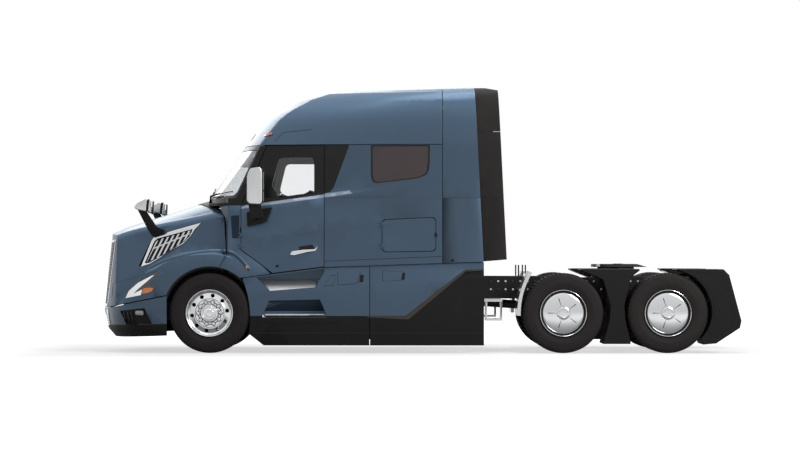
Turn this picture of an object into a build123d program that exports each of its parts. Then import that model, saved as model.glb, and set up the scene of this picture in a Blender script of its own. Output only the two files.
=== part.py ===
"""A three-axle highway tractor unit with a sleeper cab, built from its separate panels, running gear and interior.

Millimetres. -X is forward, -Y is the driver's side, +Z is up. The origin is on the ground, under the middle of the vehicle.
"""

from build123d import *
import math
import os

os.makedirs("parts", exist_ok=True)

# ---------------------------------------------------------------- driving sizes
front_overhang = 1450      # nose to steer axle
wheelbase = 5130           # steer axle to the middle of the tandem
tandem_spacing = 1320
tail_overhang = 1585       # middle of the tandem to the fender tail

tyre_radius = 507
tyre_width = 285
rim_radius = 290
dual_spacing = 330
rear_track_outer = 1240    # outer face of the outer dual tyre, from the centre line
front_track_half = 1035    # middle of the steer tyre
kingpin_half = 925
running_fit = 0.1          # radial, between a shaft and its hub
steer_pin_radius = 22

rail_top = 950
rail_height = 270
rail_half = 432            # outer face of a rail's web
rail_flange = 90
rail_web = 9

arch_radius = 590
arch_inner_half = 555
body_wall = 60
hood_wall = 28
skirt_wall = 30
seam = 8                   # gap round doors and between panels that move apart

# ---------------------------------------------------------------- stations along the vehicle
x_nose = -(front_overhang + wheelbase + tail_overhang) / 2
x_steer = x_nose + front_overhang
x_tandem = x_steer + wheelbase
x_drives = (x_tandem - tandem_spacing / 2, x_tandem + tandem_spacing / 2)
x_tail = x_tandem + tail_overhang
axle_z = tyre_radius

# Places on the cab are measured back from the steer axle.
x_seam = x_steer + 221         # rear edge of the hood
x_fire = x_seam + seam         # front face of the firewall
x_door = x_steer + 393
door_width = 1062
x_post = x_door + door_width   # door's rear edge
sleeper_length = 1489
x_rear = x_post + sleeper_length
x_split = x_steer + 2022       # front skirt meets rear skirt
x_skirt_end = x_steer + 3468
x_back = x_skirt_end + 360     # past the last body station

hood_base = 566
belt_z = 1960
roof_seam_z = 2635
roof_top_z = 3385
skirt_bottom = 100
floor_z = 1090
floor_thickness = 100
hood_gap = 14              # between bumper and hood, for the swing at the hinge
hood_hinge_x = x_nose + 20
hood_hinge_z = hood_base + 2
moving_gap = 7             # round pieces that turn inside a pocket
hinge_pin_radius = 4


# ---------------------------------------------------------------- helpers
def outline(corners, place):
    """A closed wire through corners (u, v) or (u, v, radius). A corner (u, v, "via") is a point that an arc passes."""
    corners = [c for i, c in enumerate(corners) if math.dist(c[:2], corners[i - 1][:2]) > 1e-6]
    stops = []
    count = len(corners)
    for i, (u, v, *extra) in enumerate(corners):
        radius = extra[0] if extra else 0
        if radius == "via" or radius == 0:
            stops.append(((u, v), None, (u, v)))
            continue
        before, after = corners[i - 1], corners[(i + 1) % count]
        a = math.atan2(before[1] - v, before[0] - u)
        b = math.atan2(after[1] - v, after[0] - u)
        half = abs((b - a + math.pi) % (2 * math.pi) - math.pi) / 2
        reach = radius / math.tan(half)
        middle = math.atan2(math.sin(a) + math.sin(b), math.cos(a) + math.cos(b))
        deep = radius / math.sin(half) - radius
        stops.append((
            (u + reach * math.cos(a), v + reach * math.sin(a)),
            (u + deep * math.cos(middle), v + deep * math.sin(middle)),
            (u + reach * math.cos(b), v + reach * math.sin(b)),
        ))
    edges = []
    for i, (start, middle, end) in enumerate(stops):
        if len(corners[i]) > 2 and corners[i][2] == "via":
            continue
        if middle:
            edges.append(Edge.make_three_point_arc(place(*start), place(*middle), place(*end)))
        following = (i + 1) % count
        if len(corners[following]) > 2 and corners[following][2] == "via":
            arrive = stops[(following + 1) % count][0]
            edges.append(Edge.make_three_point_arc(place(*end), place(*stops[following][0]), place(*arrive)))
        elif math.dist(end, stops[following][0]) > 1e-6:
            edges.append(Edge.make_line(place(*end), place(*stops[following][0])))
    return Wire(edges)


def side_prism(corners, y0, y1):
    """Corners are (x, z)."""
    return Solid.extrude(Face(outline(corners, lambda u, v: (u, y0, v))), Vector(0, y1 - y0, 0))


def plan_prism(corners, z0, z1):
    """Corners are (x, y)."""
    return Solid.extrude(Face(outline(corners, lambda u, v: (u, v, z0))), Vector(0, 0, z1 - z0))


def front_prism(corners, x0, x1):
    """Corners are (y, z)."""
    return Solid.extrude(Face(outline(corners, lambda u, v: (x0, u, v))), Vector(x1 - x0, 0, 0))


def block(x0, x1, y0, y1, z0, z1):
    return Solid.make_box(x1 - x0, y1 - y0, z1 - z0).move(Location((x0, y0, z0)))


def slab(x0, x1, half, z0, z1):
    """A block as wide on both sides of the centre line."""
    return block(x0, x1, -half, half, z0, z1)


def rod_y(x, z, radius, y0, y1):
    return Solid.make_cylinder(radius, y1 - y0, Plane(origin=(x, y0, z), z_dir=(0, 1, 0)))


def rod(start, end, radius):
    span = Vector(*end) - Vector(*start)
    return Solid.make_cylinder(radius, span.length, Plane(origin=start, z_dir=span))


def mirrored(shape):
    return shape.mirror(Plane.XZ)


def both(shape):
    """The shape and its mirror image on the other side of the vehicle."""
    return [*shape.solids(), *mirrored(shape).solids()]


def fuse(shapes):
    first, *rest = shapes
    return first.fuse(*rest).clean() if rest else first


def save(name, *shapes):
    solids = [s for shape in shapes for s in (shape if isinstance(shape, list) else shape.solids())]
    export_step(Compound(solids), f"parts/{name}.step")


# ---------------------------------------------------------------- body forms
def cab_plan(z, x_front, x_corner, x_side, w_corner, w_side, w_back, inset, bow=True):
    """One level of the cab: bowed or straight front, sides that swell to the sleeper, and a straight back."""
    front = [(x_front + inset, 0, "via")] if bow else []
    corners = [(x_corner + inset, -(w_corner - inset)), *front, (x_corner + inset, w_corner - inset)]
    corners += [(x_side, w_side - inset, "via"), (x_back, w_back - inset), (x_back, -(w_back - inset))]
    corners += [(x_side, -(w_side - inset), "via")]
    return outline(corners, lambda u, v: (u, v, z))


# z, half width at the firewall, at the door's rear edge and at the back
lower_levels = ((90, 1165, 1205, 1222), (1060, 1165, 1205, 1222), (belt_z, 1075, 1165, 1216))

# z; behind the steer axle the middle of the front, its corners and a place on the side; half widths at the last
# two and at the back
upper_levels = (
    (belt_z, -80, 332, 1455, 1075, 1165, 1216),
    (roof_seam_z, 386, 642, 1455, 1004, 1150, 1206),
)
roof_levels = (
    (roof_seam_z, 386, 642, 1455, 1004, 1150, 1206),
    (2955, 627, 880, 1650, 955, 1120, 1183),
    (3131, 861, 1130, 1850, 890, 1070, 1145),
    (3300, 1188, 1500, 2200, 760, 975, 1060),
    (roof_top_z, 1950, 2150, 2900, 520, 740, 860),
)


def half_width(x, z):
    """Half width of the lower cab skin."""
    (z0, *low), (z1, *high) = lower_levels[1:]
    widths = [a + (b - a) * (z - z0) / (z1 - z0) for a, b in zip(low, high)]
    total = 0
    stations = (x_fire, x_post, x_back)
    for own, width in zip(stations, widths):
        share = width
        for other in stations:
            if other != own:
                share *= (x - other) / (own - other)
        total += share
    return total


def eased(table, steps):
    """Rows between the rows of a table, on a smooth curve through them."""
    rows = []
    last = len(table) - 1
    for i in range(last):
        p0, p1, p2, p3 = table[max(i - 1, 0)], table[i], table[i + 1], table[min(i + 2, last)]
        for k in range(steps):
            t = k / steps
            rows.append(tuple(
                0.5 * (2 * b + (c - a) * t + (2 * a - 5 * b + 4 * c - d) * t * t + (3 * b - a - 3 * c + d) * t ** 3)
                for a, b, c, d in zip(p0, p1, p2, p3)))
    return [*rows, table[-1]]


def cab_lower(inset):
    walls = [cab_plan(z, x_fire, x_fire, x_post, w0, w1, w2, inset, bow=False) for z, w0, w1, w2 in lower_levels]
    return Solid.make_loft(walls, ruled=True)


def cab_upper(inset):
    walls = [cab_plan(z, *(x_steer + x for x in xs), *widths, inset)
             for z, xs, widths in ((row[0], row[1:4], row[4:]) for row in upper_levels)]
    return Solid.make_loft(walls, ruled=True)


def cab_crown(inset):
    """The raised roof, drawn in and lowered by the inset."""
    drop = inset / (roof_top_z - roof_seam_z)
    walls = [
        cab_plan(z - (z - roof_seam_z) * drop, *(x_steer + x for x in xs), *widths, inset)
        for z, xs, widths in ((row[0], row[1:4], row[4:]) for row in eased(roof_levels, 2))
    ]
    return Solid.make_loft(walls, ruled=True)


# The nose in plan: a shallow bow, then a rounder corner on each side, then the straight flank.
bow_half = 700
bow_depth = 140
corner_back = 760
flank_half = 1195
flank_rear_half = 1212


def nose_plan(z, front, side):
    """The nose outline at one height, drawn back by front and in by side."""
    x_end = x_back
    right = [
        (x_nose + bow_depth + 0.92 * front, bow_half - 0.38 * side),
        (x_nose + 386 + 0.62 * front, 1027 - 0.78 * side, "via"),
        (x_nose + corner_back + 0.17 * front, flank_half - side),
        (x_end, flank_rear_half - side),
    ]
    left = [(u, -v, *rest) for u, v, *rest in reversed(right)]
    return outline([*right, *left, (x_nose + front, 0, "via")], lambda u, v: (u, v, z))


nose_lean = 0.105          # how far the nose leans back for each millimetre of height
flank_lean = 0.03


def nose_form(inset, z0=150, z1=2100):
    levels = [nose_plan(z, nose_lean * (z - hood_base) + 10 + inset, flank_lean * (z - hood_base) + inset)
              for z in (z0, z1)]
    return Solid.make_loft(levels, ruled=True)


# behind the nose, half width at the base, half width at the shoulder, height of the shoulder, height of the crown
bonnet_stations = (
    (-60, 800, 655, 1335, 1400),
    (232, 905, 690, 1500, 1573),
    (620, 965, 730, 1605, 1705),
    (1082, 1015, 800, 1690, 1850),
    (1700, 1070, 905, 1800, 1975),
)
shoulder_radius = 110


def bonnet_form(inset):
    sections = []
    for back, w_base, w_edge, z_edge, z_top in bonnet_stations:
        x, base, edge, low, high = x_nose + back, w_base - inset, w_edge - inset, z_edge - inset, z_top - inset
        corners = [(-base, 300), (base, 300), (edge, low, shoulder_radius), (0, high, "via"),
                   (-edge, low, shoulder_radius)]
        sections.append(outline(corners, lambda u, v, x=x: (x, u, v)))
    return Solid.make_loft(sections)


# behind the steer axle, height, radius of the bend
crest_corners = ((-1275, 480), (-845, 1030, 700), (-430, 1285, 800), (60, 1318, 900), (330, 1265, 330), (585, 940), (650, 480))
crest_half = 960           # the crest is level out to here, then rolls off
crest_rolls = ((crest_half, 0), (1120, 26), (1235, 120))


def crest_form(inset):
    """The fender line over the steer wheel, level across the middle and rolled off at the flanks."""
    def wire(y, drop):
        corners = [(x_steer + u, v - drop if v > 480 else v, *rest) for u, v, *rest in crest_corners]
        return outline(corners, lambda u, v: (u, y, v))
    middle = Solid.extrude(Face(wire(-crest_half, inset)), Vector(0, 2 * crest_half, 0))
    flank = Solid.make_loft([wire(y, inset + drop) for y, drop in crest_rolls])
    return middle.fuse(flank, mirrored(flank))


def hood_form(inset):
    return nose_form(inset) & bonnet_form(inset).fuse(crest_form(inset))


def arch_cut(radius):
    """Both steer wheel housings."""
    right = rod_y(x_steer, axle_z, radius, arch_inner_half, 1400)
    return [right, mirrored(right)]


# ---------------------------------------------------------------- lines on the side of the body
def seam_height(x):
    """Height of the line between cab and skirts."""
    knee_x, knee_z = x_post, 1090
    if x < knee_x:
        return knee_z + (x - knee_x) * 0.127
    return knee_z + (x - knee_x) * 0.033


above_seam = [(x_fire - 600, seam_height(x_fire - 600)), (x_post, seam_height(x_post)),
              (x_back + 10, seam_height(x_back + 10)), (x_back + 10, 4000), (x_fire - 600, 4000)]
below_seam = [(x_fire - 600, seam_height(x_fire - 600) - seam), (x_post, seam_height(x_post) - seam),
              (x_back + 10, seam_height(x_back + 10) - seam), (x_back + 10, 0), (x_fire - 600, 0)]


def door_outline(shrink, past=0):
    """The door's edge drawn in by shrink. Past runs its rear, top and foot beyond the panels that it cuts."""
    s = shrink
    return [
        (x_door + s, 1303 + s),
        (x_door + s, 1880 - s),
        (x_door + 322 + s, roof_seam_z - s),
        (x_door + 322 + s, roof_seam_z - s + past),
        (x_post - s + past, roof_seam_z - s + past),
        (x_post - s + past, seam_height(x_post) + s - past),
        (x_door + 405, seam_height(x_door + 405) + s - past),
        (x_door + 285 + s, 1095 + s, 60),
    ]


door_window = [(x_door + 478, 1972, 30), (x_door + 395, 2120, 60), (x_door + 480, 2470, 70), (x_post - 132, 2470, 45),
               (x_post - 132, 2035, 30)]
sleeper_window = [(x_post + 604, 2155, 60), (x_post + 604, roof_seam_z - 14), (x_post + 1314, roof_seam_z - 14),
                  (x_post + 1300, 2235, 90)]
luggage_outline = [(x_post + 722, 1275, 55), (x_post + 722, 1690, 55), (x_post + 1410, 1722, 55), (x_post + 1410, 1285, 55)]
windshield_outline = [(-1040, belt_z + 35, 60), (-968, roof_seam_z - 55, 60), (968, roof_seam_z - 55, 60),
                      (1040, belt_z + 35, 60)]

lower_skin = cab_lower(0)
lower_core = cab_lower(body_wall)
upper_skin = cab_upper(0)
upper_core = cab_upper(body_wall)
roof_skin = cab_crown(0)
roof_core = cab_crown(body_wall)
above = side_prism(above_seam, -1400, 1400)
below = side_prism(below_seam, -1400, 1400)


# ---------------------------------------------------------------- cab shell
floor_x = x_fire + body_wall
rear_edge = [(x_steer + 3350, roof_top_z + 20), (x_steer + 3464, 1160), (x_steer + 3464, 0)]
flap_edge = [(x_steer + 3650, 3335), (x_steer + 3756, 1184)]
cowl_outline = [(x_fire + 10, -1050), (x_steer - 70, 0, "via"), (x_fire + 10, 1050)]


hinge_radius = 9
hinge_stand = 12           # hinge pin's distance outside the skin
hinge_length = 60
hinge_play = 0.5


def hinge(x, y, z0):
    """An outside hinge: the fixed half with its pin, and the half on the door."""
    z1 = z0 + hinge_length
    low, high = z0 + hinge_length / 3, z1 - hinge_length / 3
    fixed = [Solid.make_cylinder(hinge_pin_radius, hinge_length, Plane(origin=(x, y, z0)))]
    for a, b in ((z0, low - hinge_play), (high + hinge_play, z1)):
        fixed.append(Solid.make_cylinder(hinge_radius, b - a, Plane(origin=(x, y, a))))
        fixed += (block(x - 34, x, y - 70, y, a, b) - lower_skin).solids()
    eye = Solid.make_cylinder(hinge_radius, high - low, Plane(origin=(x, y, low)))
    leaf = block(x, x + 38, y - 70, y, low, high) - lower_skin
    bore = Solid.make_cylinder(hinge_pin_radius + running_fit, hinge_length, Plane(origin=(x, y, z0)))
    return fuse(fixed), fuse([eye, *leaf.solids()]) - bore


door_hinges = [hinge(x_door + seam / 2, half_width(x_door, 1303) + hinge_stand, z) for z in (1325, 1465)]
luggage_hinges = [hinge(luggage_outline[0][0] + seam / 2, half_width(luggage_outline[0][0], 1275) + hinge_stand, z)
                  for z in (1330, 1600)]


def fender_tail():
    """The ends of the fender line, carried by the cab behind the hood's rear edge."""
    zone = side_prism([(x_fire, 1500), (x_fire, 1258), (x_fire - 110, 1070), (x_fire - 110, 880), (x_steer + 640, 880),
                       (x_steer + 640, 1500)], 1100, 1400)
    flare = (nose_form(0) & zone) & crest_form(0) & above
    return both(flare - arch_cut(arch_radius)[0] - lower_core)


def build_cab():
    lower_wall = (lower_skin - lower_core) & above & slab(x_fire - 10, x_back + 20, 1400, 0, belt_z)
    upper_wall = upper_skin - upper_core
    windshield_cut = front_prism(windshield_outline, x_steer - 300, x_door + 300)

    rear = block(x_post, x_rear, 600, 1400, 0, 4000)
    side = fuse([*(lower_wall & rear).solids(), *(upper_wall & rear).solids()])
    side = side - side_prism(sleeper_window, 600, 1400) - side_prism(luggage_outline, 600, 1400)
    save("cab_sides", both(fuse([side, *[fixed for fixed, moving in luggage_hinges]])))

    fore = slab(x_steer - 400, x_post, 1400, 0, 4000)
    walls = fuse([*(lower_wall & fore).solids(), *(upper_wall & fore).solids()])
    walls = walls - slab(x_fire - 10, floor_x + 5, 1000, 0, floor_z - 30) - windshield_cut
    for shape in (side_prism(door_outline(0, 30), 600, 1400), arch_cut(arch_radius)[0]):
        walls = walls - shape - mirrored(shape)
    cowl = plan_prism(cowl_outline, belt_z - 80, belt_z)
    pins = [s for fixed, moving in door_hinges for s in both(fixed)]
    save("cab_front", fuse([*walls.solids(), cowl, *fender_tail(), *pins]))

    sill = side_prism(door_outline(0, 30), 600, 1400) & (lower_skin - cab_lower(body_wall + seam))
    floor = (lower_core & slab(floor_x, x_rear, 1300, floor_z, floor_z + floor_thickness)) - sill - mirrored(sill)
    save("cab_floor", floor)

    inner = slab(x_rear - body_wall, x_rear, 1300, floor_z + floor_thickness, 4000)
    save("cab_rear_wall", fuse([form & inner for form in (lower_core, upper_core, roof_core)]))
    save("cab_roof", (roof_skin - roof_core) & slab(x_steer, x_rear, 1400, roof_seam_z, 4000))

    glass = (cab_upper(8) - cab_upper(20)) & windshield_cut
    panes = (cab_upper(6) - cab_upper(16)) & side_prism(sleeper_window, 600, 1400)
    save("cab_glass", glass, both(panes))


def build_doors():
    leaf_zone = side_prism(door_outline(seam), 600, 1400)
    lower = (lower_skin - lower_core) & slab(x_fire - 10, x_back, 1400, 0, belt_z) & leaf_zone
    upper = (upper_skin - upper_core) & leaf_zone
    window = side_prism(door_window, 600, 1400)
    leaf = fuse([*lower.solids(), *upper.solids()]) - window
    leaf = fuse([leaf, *[moving for fixed, moving in door_hinges]])
    pane = (cab_upper(24) - cab_upper(34)) & window
    hatch = [(u + (seam if u < x_post + 900 else -seam), v + (seam if v < 1400 else -seam), r)
             for u, v, r in luggage_outline]
    lid = (lower_skin - lower_core) & side_prism(hatch, 600, 1400)
    lid = fuse([*lid.solids(), *[moving for fixed, moving in luggage_hinges]])
    for name, shape in (("door", leaf), ("door_glass", pane), ("luggage_door", lid)):
        save(f"{name}_right", shape)
        save(f"{name}_left", mirrored(shape))


def build_extenders():
    wall = 40
    zone = side_prism([(x_rear, 0), (x_rear, 4000), (rear_edge[0][0], 4000), *rear_edge], -1400, 1400)
    forms = ((lower_skin & above, cab_lower(wall)), (upper_skin, cab_upper(wall)), (roof_skin, cab_crown(wall)))
    save("side_extenders", fuse([s for skin, core in forms for s in ((skin - core) & zone).solids()]))
    flap_zone = [rear_edge[0], rear_edge[1], flap_edge[1], flap_edge[0]]
    slit = slab(x_steer, x_back, 1400, 2796, 2800)
    sheet = side_prism(flap_zone, -1400, 1400) - slit
    forms = ((cab_lower(12), cab_lower(22)), (cab_upper(12), cab_upper(22)), (cab_crown(12), cab_crown(22)))
    flaps = fuse([s for skin, core in forms for s in ((skin - core) & sheet).solids()])
    save("extender_flaps", flaps - slab(x_steer, x_back, 620, 0, 4000))


# ---------------------------------------------------------------- skirts
paint_line = 472
rise = [(x_split + 457, paint_line), (x_split + 1204, 1056), (x_skirt_end, 1060)]
skirt_front = [(x_steer + 424, 925), (x_steer + 515, 507, "via"), (x_steer + 498, 246), (x_steer + 686, skirt_bottom)]
ceiling = 12               # plate between a step pocket and the seam above it
pocket_wall = 15
step_depth = 190
tread_z = 911
upper_step = [(x_steer + 601, 951), (x_steer + 775, 778), (x_steer + 1340, 826), (x_steer + 1455, 1024),
              (x_steer + 1455, 1300), (x_steer + 601, 1300)]
tread_lip = 70             # the tread's sloped front edge, measured inwards
lower_step = [(x_steer + 674, 480), (x_steer + 1484, 480), (x_steer + 1390, 700), (x_steer + 770, 700)]
lower_tread_z = 489


def grown(corners, past):
    """The corners moved away from their middle by a distance."""
    cx = sum(u for u, *_ in corners) / len(corners)
    cz = sum(v for _, v, *_ in corners) / len(corners)
    return [(u + math.copysign(past, u - cx), v + math.copysign(past, v - cz), *rest) for u, v, *rest in corners]


def step_pockets():
    """The hollow of each step and the thin box round it, on the +Y side, as (hollow, box) pairs."""
    under_seam = side_prism([(x, z - ceiling if z > 500 else z) for x, z in below_seam], 600, 1400)
    inner, outer = 1150 - step_depth, 1400
    upper = side_prism(upper_step, inner, outer) & under_seam
    tread = front_prism([(inner, 700), (inner, tread_z), (1150 - tread_lip, tread_z), (1250, 730), (1250, 700)],
                        x_steer, x_steer + 2000)
    scoop = front_prism([(outer, lower_tread_z), (1150 - 130, lower_tread_z), (1150 - 130, 530), (1215, 690), (outer, 690)],
                        x_steer, x_steer + 2000)
    lower = side_prism(lower_step, inner, outer) & scoop
    pairs = []
    for hollow, corners, floor, depth in ((upper - tread, upper_step, 750, step_depth), (lower, lower_step, 474, 130)):
        shell = side_prism(grown(corners, pocket_wall), 1150 - depth - pocket_wall, 1190) & below & cab_lower(skirt_wall)
        shell = shell & block(x_steer, x_steer + 2000, 0, 1400, floor, 1400)
        pairs.append((hollow, shell - hollow))
    return pairs


def build_skirts():
    wall = cab_lower(0) - cab_lower(skirt_wall)
    band = [(x_skirt_end, skirt_bottom), (x_skirt_end, 1300), (x_steer + 400, 1300), *skirt_front]
    shell = wall & side_prism(band, -1400, 1400) & below
    shell = shell - slab(x_split, x_split + seam, 1400, 0, 2000)
    boxes = []
    for hollow, box in step_pockets():
        shell = shell - hollow - mirrored(hollow)
        boxes.append(box)
    low = side_prism([(x_steer, 0), (x_steer, paint_line), rise[0], rise[1], rise[2], (x_skirt_end, 0)], -1400, 1400)
    save("side_skirts", *(shell - low).solids(), *[s for box in boxes for s in both(box)])
    save("lower_valances", *(shell & low).solids())


# ---------------------------------------------------------------- hood
hood_foot = [(x_nose - 60, hood_base), (x_nose + 60, hood_base), (x_nose + 911, 737)]
grille_outline = [(-536, hood_base + 22, 30), (536, hood_base + 22, 30), (616, 1432, 60), (-616, 1432, 60)]
grille_wall = 14
vent_outline = [(x_nose + 1294, 1624), (x_nose + 748, 1485), (x_nose + 678, 1440), (x_nose + 518, 1090),
                (x_nose + 880, 1268), (x_nose + 1150, 1453)]
lamp_outline = [(x_nose + 60, 700, 40), (x_nose + 250, 700, 40), (x_nose + 905, 1010), (x_nose + 870, 1060, 20),
                (x_nose + 380, 930, 60), (x_nose + 60, 850)]


def build_hood():
    outer, inner = hood_form(0), hood_form(hood_wall)
    keep = side_prism([(x_nose - 60, hood_base), (x_nose + 60, hood_base), (x_nose + 911, 737), (x_steer, 737),
                       (x_steer + 80, 1070), (x_seam - 106, 1076), (x_seam, 1258), (x_seam, 2200), (x_nose - 60, 2200)],
                      -1400, 1400)
    cowl_room = plan_prism([(x_seam, -1120), (x_steer - 86, 0, "via"), (x_seam, 1120), (x_seam + 200, 1120),
                            (x_seam + 200, -1120)], 0, 2400)
    shell = (outer - inner) & keep
    shell = shell - cowl_room
    liner = fuse([*(rod_y(x_steer, axle_z, arch_radius + 12, arch_inner_half, 1400) & inner & keep).solids()])
    shell = shell.fuse(liner, mirrored(liner))
    for cut in arch_cut(arch_radius):
        shell = shell - cut
    front_zone = front_prism(grille_outline, x_nose - 100, x_nose + 330)
    vents = [side_prism(vent_outline, -1400, -500), side_prism(vent_outline, 500, 1400)]
    lamps = [side_prism(lamp_outline, -1300, -700), side_prism(lamp_outline, 700, 1300)]
    for cut in (front_zone, *vents, *lamps):
        shell = shell - cut
    slot = block(x_nose - 20, x_nose + 60, hood_arm_y[0] - moving_gap, hood_arm_y[1] + moving_gap, hood_base - 10,
                 hood_hinge_z + hood_arm_radius + moving_gap)
    pin = rod_y(hood_hinge_x, hood_hinge_z, hinge_pin_radius, hood_arm_y[0] - moving_gap, hood_arm_y[1] + moving_gap)
    shell = (shell - slot - mirrored(slot)).fuse(pin, mirrored(pin))
    save("hood", shell)

    sheet = hood_form(6) - hood_form(6 + grille_wall)
    screen = sheet & front_zone
    blades = [sheet & v for v in vents]
    save("grille", screen, *blades)
    lens = hood_form(4) - hood_form(22)
    save("headlamps", *[lens & zone for zone in lamps])


bumper_wall = 30
bumper_top = hood_base - hood_gap
intake_depth = 16          # a panel set back in each intake
side_intake = [(x_nose + 296, 532), (x_nose + 630, 570), (x_nose + 732, 353), (x_nose + 384, 362)]
front_intake = [(-470, 330, 20), (470, 330, 20), (520, 480, 20), (-520, 480, 20)]
bumper_levels = ((190, 150, 70), (300, 56, 20), (hood_base - 40, 4, 2), (800, 0, 0))


def bumper_form(inset):
    return Solid.make_loft([nose_plan(z, front + inset, side + inset) for z, front, side in bumper_levels], ruled=True)


def build_bumper():
    keep = side_prism([(x_nose - 60, bumper_top), (x_nose + 60, bumper_top), (x_nose + 911, 737 - hood_gap),
                       (x_nose + 911, 222), (x_nose + 100, 190), (x_nose - 60, 190)], -1400, 1400)
    side_cut = side_prism(side_intake, 850, 1400)
    cuts = [side_cut, mirrored(side_cut), front_prism(front_intake, x_nose - 100, x_nose + 300)]
    shell = (bumper_form(0) - bumper_form(bumper_wall)) & keep
    backing = bumper_form(intake_depth) - bumper_form(bumper_wall)
    panels = [backing & cut for cut in cuts]
    for cut in cuts:
        shell = shell - cut
    save("bumper", shell)
    save("bumper_inserts", *panels)


# ---------------------------------------------------------------- chassis
hood_arm_y = (60, 90)
hood_arm_radius = 8
rail_front = x_nose + 307
rail_back = x_tail - 225
cross_members = (
    # x behind the steer axle, half length, bottom, top
    (1330, 40, rail_top - 90, rail_top - 10),
    (2430, 40, rail_top - 90, rail_top - 10),
    (3530, 40, rail_top - 90, rail_top - 10),
    (wheelbase, 120, rail_top - 200, rail_top - 10),
    (wheelbase + 1350, 30, rail_top - rail_height, rail_top),
)
bracket_half = 40
outriggers = (680, 1950, 2095, 3425)      # x behind the steer axle
cab_mounts = (480, 2640)
tank_straps = (2400, 3100)
hose_posts = (3941, 4030)
post_radius = 9
post_height = 145
deck_thickness = 20
plate_x = x_steer + 5272                  # fifth wheel pivot
pivot_z = rail_top + 90
bracket_outer = 400
bracket_inner = 350
tank_radius = 330
tank_half = 840
tank_z = 700
tank_x = (x_steer + 2150, x_steer + 3362)


def rail():
    web, flange = rail_half - rail_web, rail_half - rail_flange
    low, high = rail_top - rail_height, rail_top
    profile = [(rail_half, low), (rail_half, high), (flange, high), (flange, high - rail_web), (web, high - rail_web),
               (web, low + rail_web), (flange, low + rail_web), (flange, low)]
    return front_prism(profile, rail_front, rail_back)


def build_frame():
    web = rail_half - rail_web
    low = rail_top - rail_height
    rails = both(rail())

    def beside_rails(shape):
        for side in rails:
            shape = shape - side
        return shape

    save("frame_rails", rails)

    members = [slab(x_steer + x - half, x_steer + x + half, rail_half, z0, z1) for x, half, z0, z1 in cross_members]
    x, z, r = hood_hinge_x, hood_hinge_z, hood_arm_radius
    arm = side_prism([(x, z + r), (x - r, z, "via"), (x, z - r), (x + 70, z - r), (rail_front + 70, 650),
                      (rail_front + 70, low), (rail_front, low), (x + 60, z + r)], *hood_arm_y)
    arm = arm - rod_y(x, z, hinge_pin_radius + running_fit, 0, 200)
    front = slab(rail_front, rail_front + 70, web, low, rail_top - 170)
    members.append(fuse([front, arm, mirrored(arm)]))
    save("cross_members", *[beside_rails(member) for member in members])

    mounts = [block(x_steer + x - 60, x_steer + x + 60, rail_half - 70, rail_half, rail_top, floor_z) for x in cab_mounts]
    for x in outriggers:
        arm = block(x_steer + x - bracket_half / 2, x_steer + x + bracket_half / 2, web, 1300, 560, 700)
        mounts.append(beside_rails(arm & cab_lower(skirt_wall)))
    for x in tank_straps:
        strap = block(x_steer + x - bracket_half, x_steer + x + bracket_half, rail_half, tank_half - 100, tank_z - 140,
                      tank_z + 100)
        mounts.append(strap - rod((x_steer + x - 200, tank_half, tank_z), (x_steer + x + 200, tank_half, tank_z), tank_radius))
    bumper_arm = block(rail_front - 400, rail_front + 70, rail_half - rail_flange, rail_half, 420, 520)
    bumper_post = block(rail_front - 20, rail_front + 70, rail_half - rail_flange, rail_half, 420, low)
    mounts.append(fuse([*(bumper_arm & bumper_form(bumper_wall)).solids(), bumper_post]))
    posts = [Solid.make_cylinder(post_radius, post_height, Plane(origin=(x_steer + x, rail_half - 32, rail_top + deck_thickness)))
             for x in hose_posts]
    deck = slab(x_skirt_end + 20, x_skirt_end + 760, 430, rail_top, rail_top + deck_thickness)
    save("frame_brackets", *[s for m in (*mounts, *posts) for s in both(m)], deck)


def differential(x):
    profile = [(-240, 0), (-240, 130), (-130, 210), (120, 210), (200, 150), (200, 0)]
    face = Face(Wire.make_polygon([(x + u, 0, axle_z + r) for u, r in profile], close=True))
    return Solid.revolve(face, 360, Axis((x, 0, axle_z), (1, 0, 0)))


def build_engine():
    x0, x1 = x_steer - 1000, x_steer + 130
    block_half = 330
    body = slab(x0, x1, block_half, 620, 1420)
    head = slab(x0 + 60, x1 - 60, 230, 1420, 1520)
    foot = [block(x, x + 120, block_half - 20, rail_half - rail_web, 780, 850) for x in (x0 + 120, x1 - 260)]
    gearbox = rod((x1, 0, 800), (x1 + 1000, 0, 800), 200)
    shaft = rod((x1 + 1000, 0, 800), (x_drives[0] - 150, 0, axle_z + 60), 55) - gearbox - differential(x_drives[0])
    link = rod((x_drives[0] + 200, 0, axle_z), (x_drives[1] - 200, 0, axle_z), 50) - differential(x_drives[1])
    save("engine", fuse([body, head]), gearbox, shaft, link, *[s for p in foot for s in both(p)])
    save("radiator", slab(rail_front - 95, rail_front, 470, 690, 1380))


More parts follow.
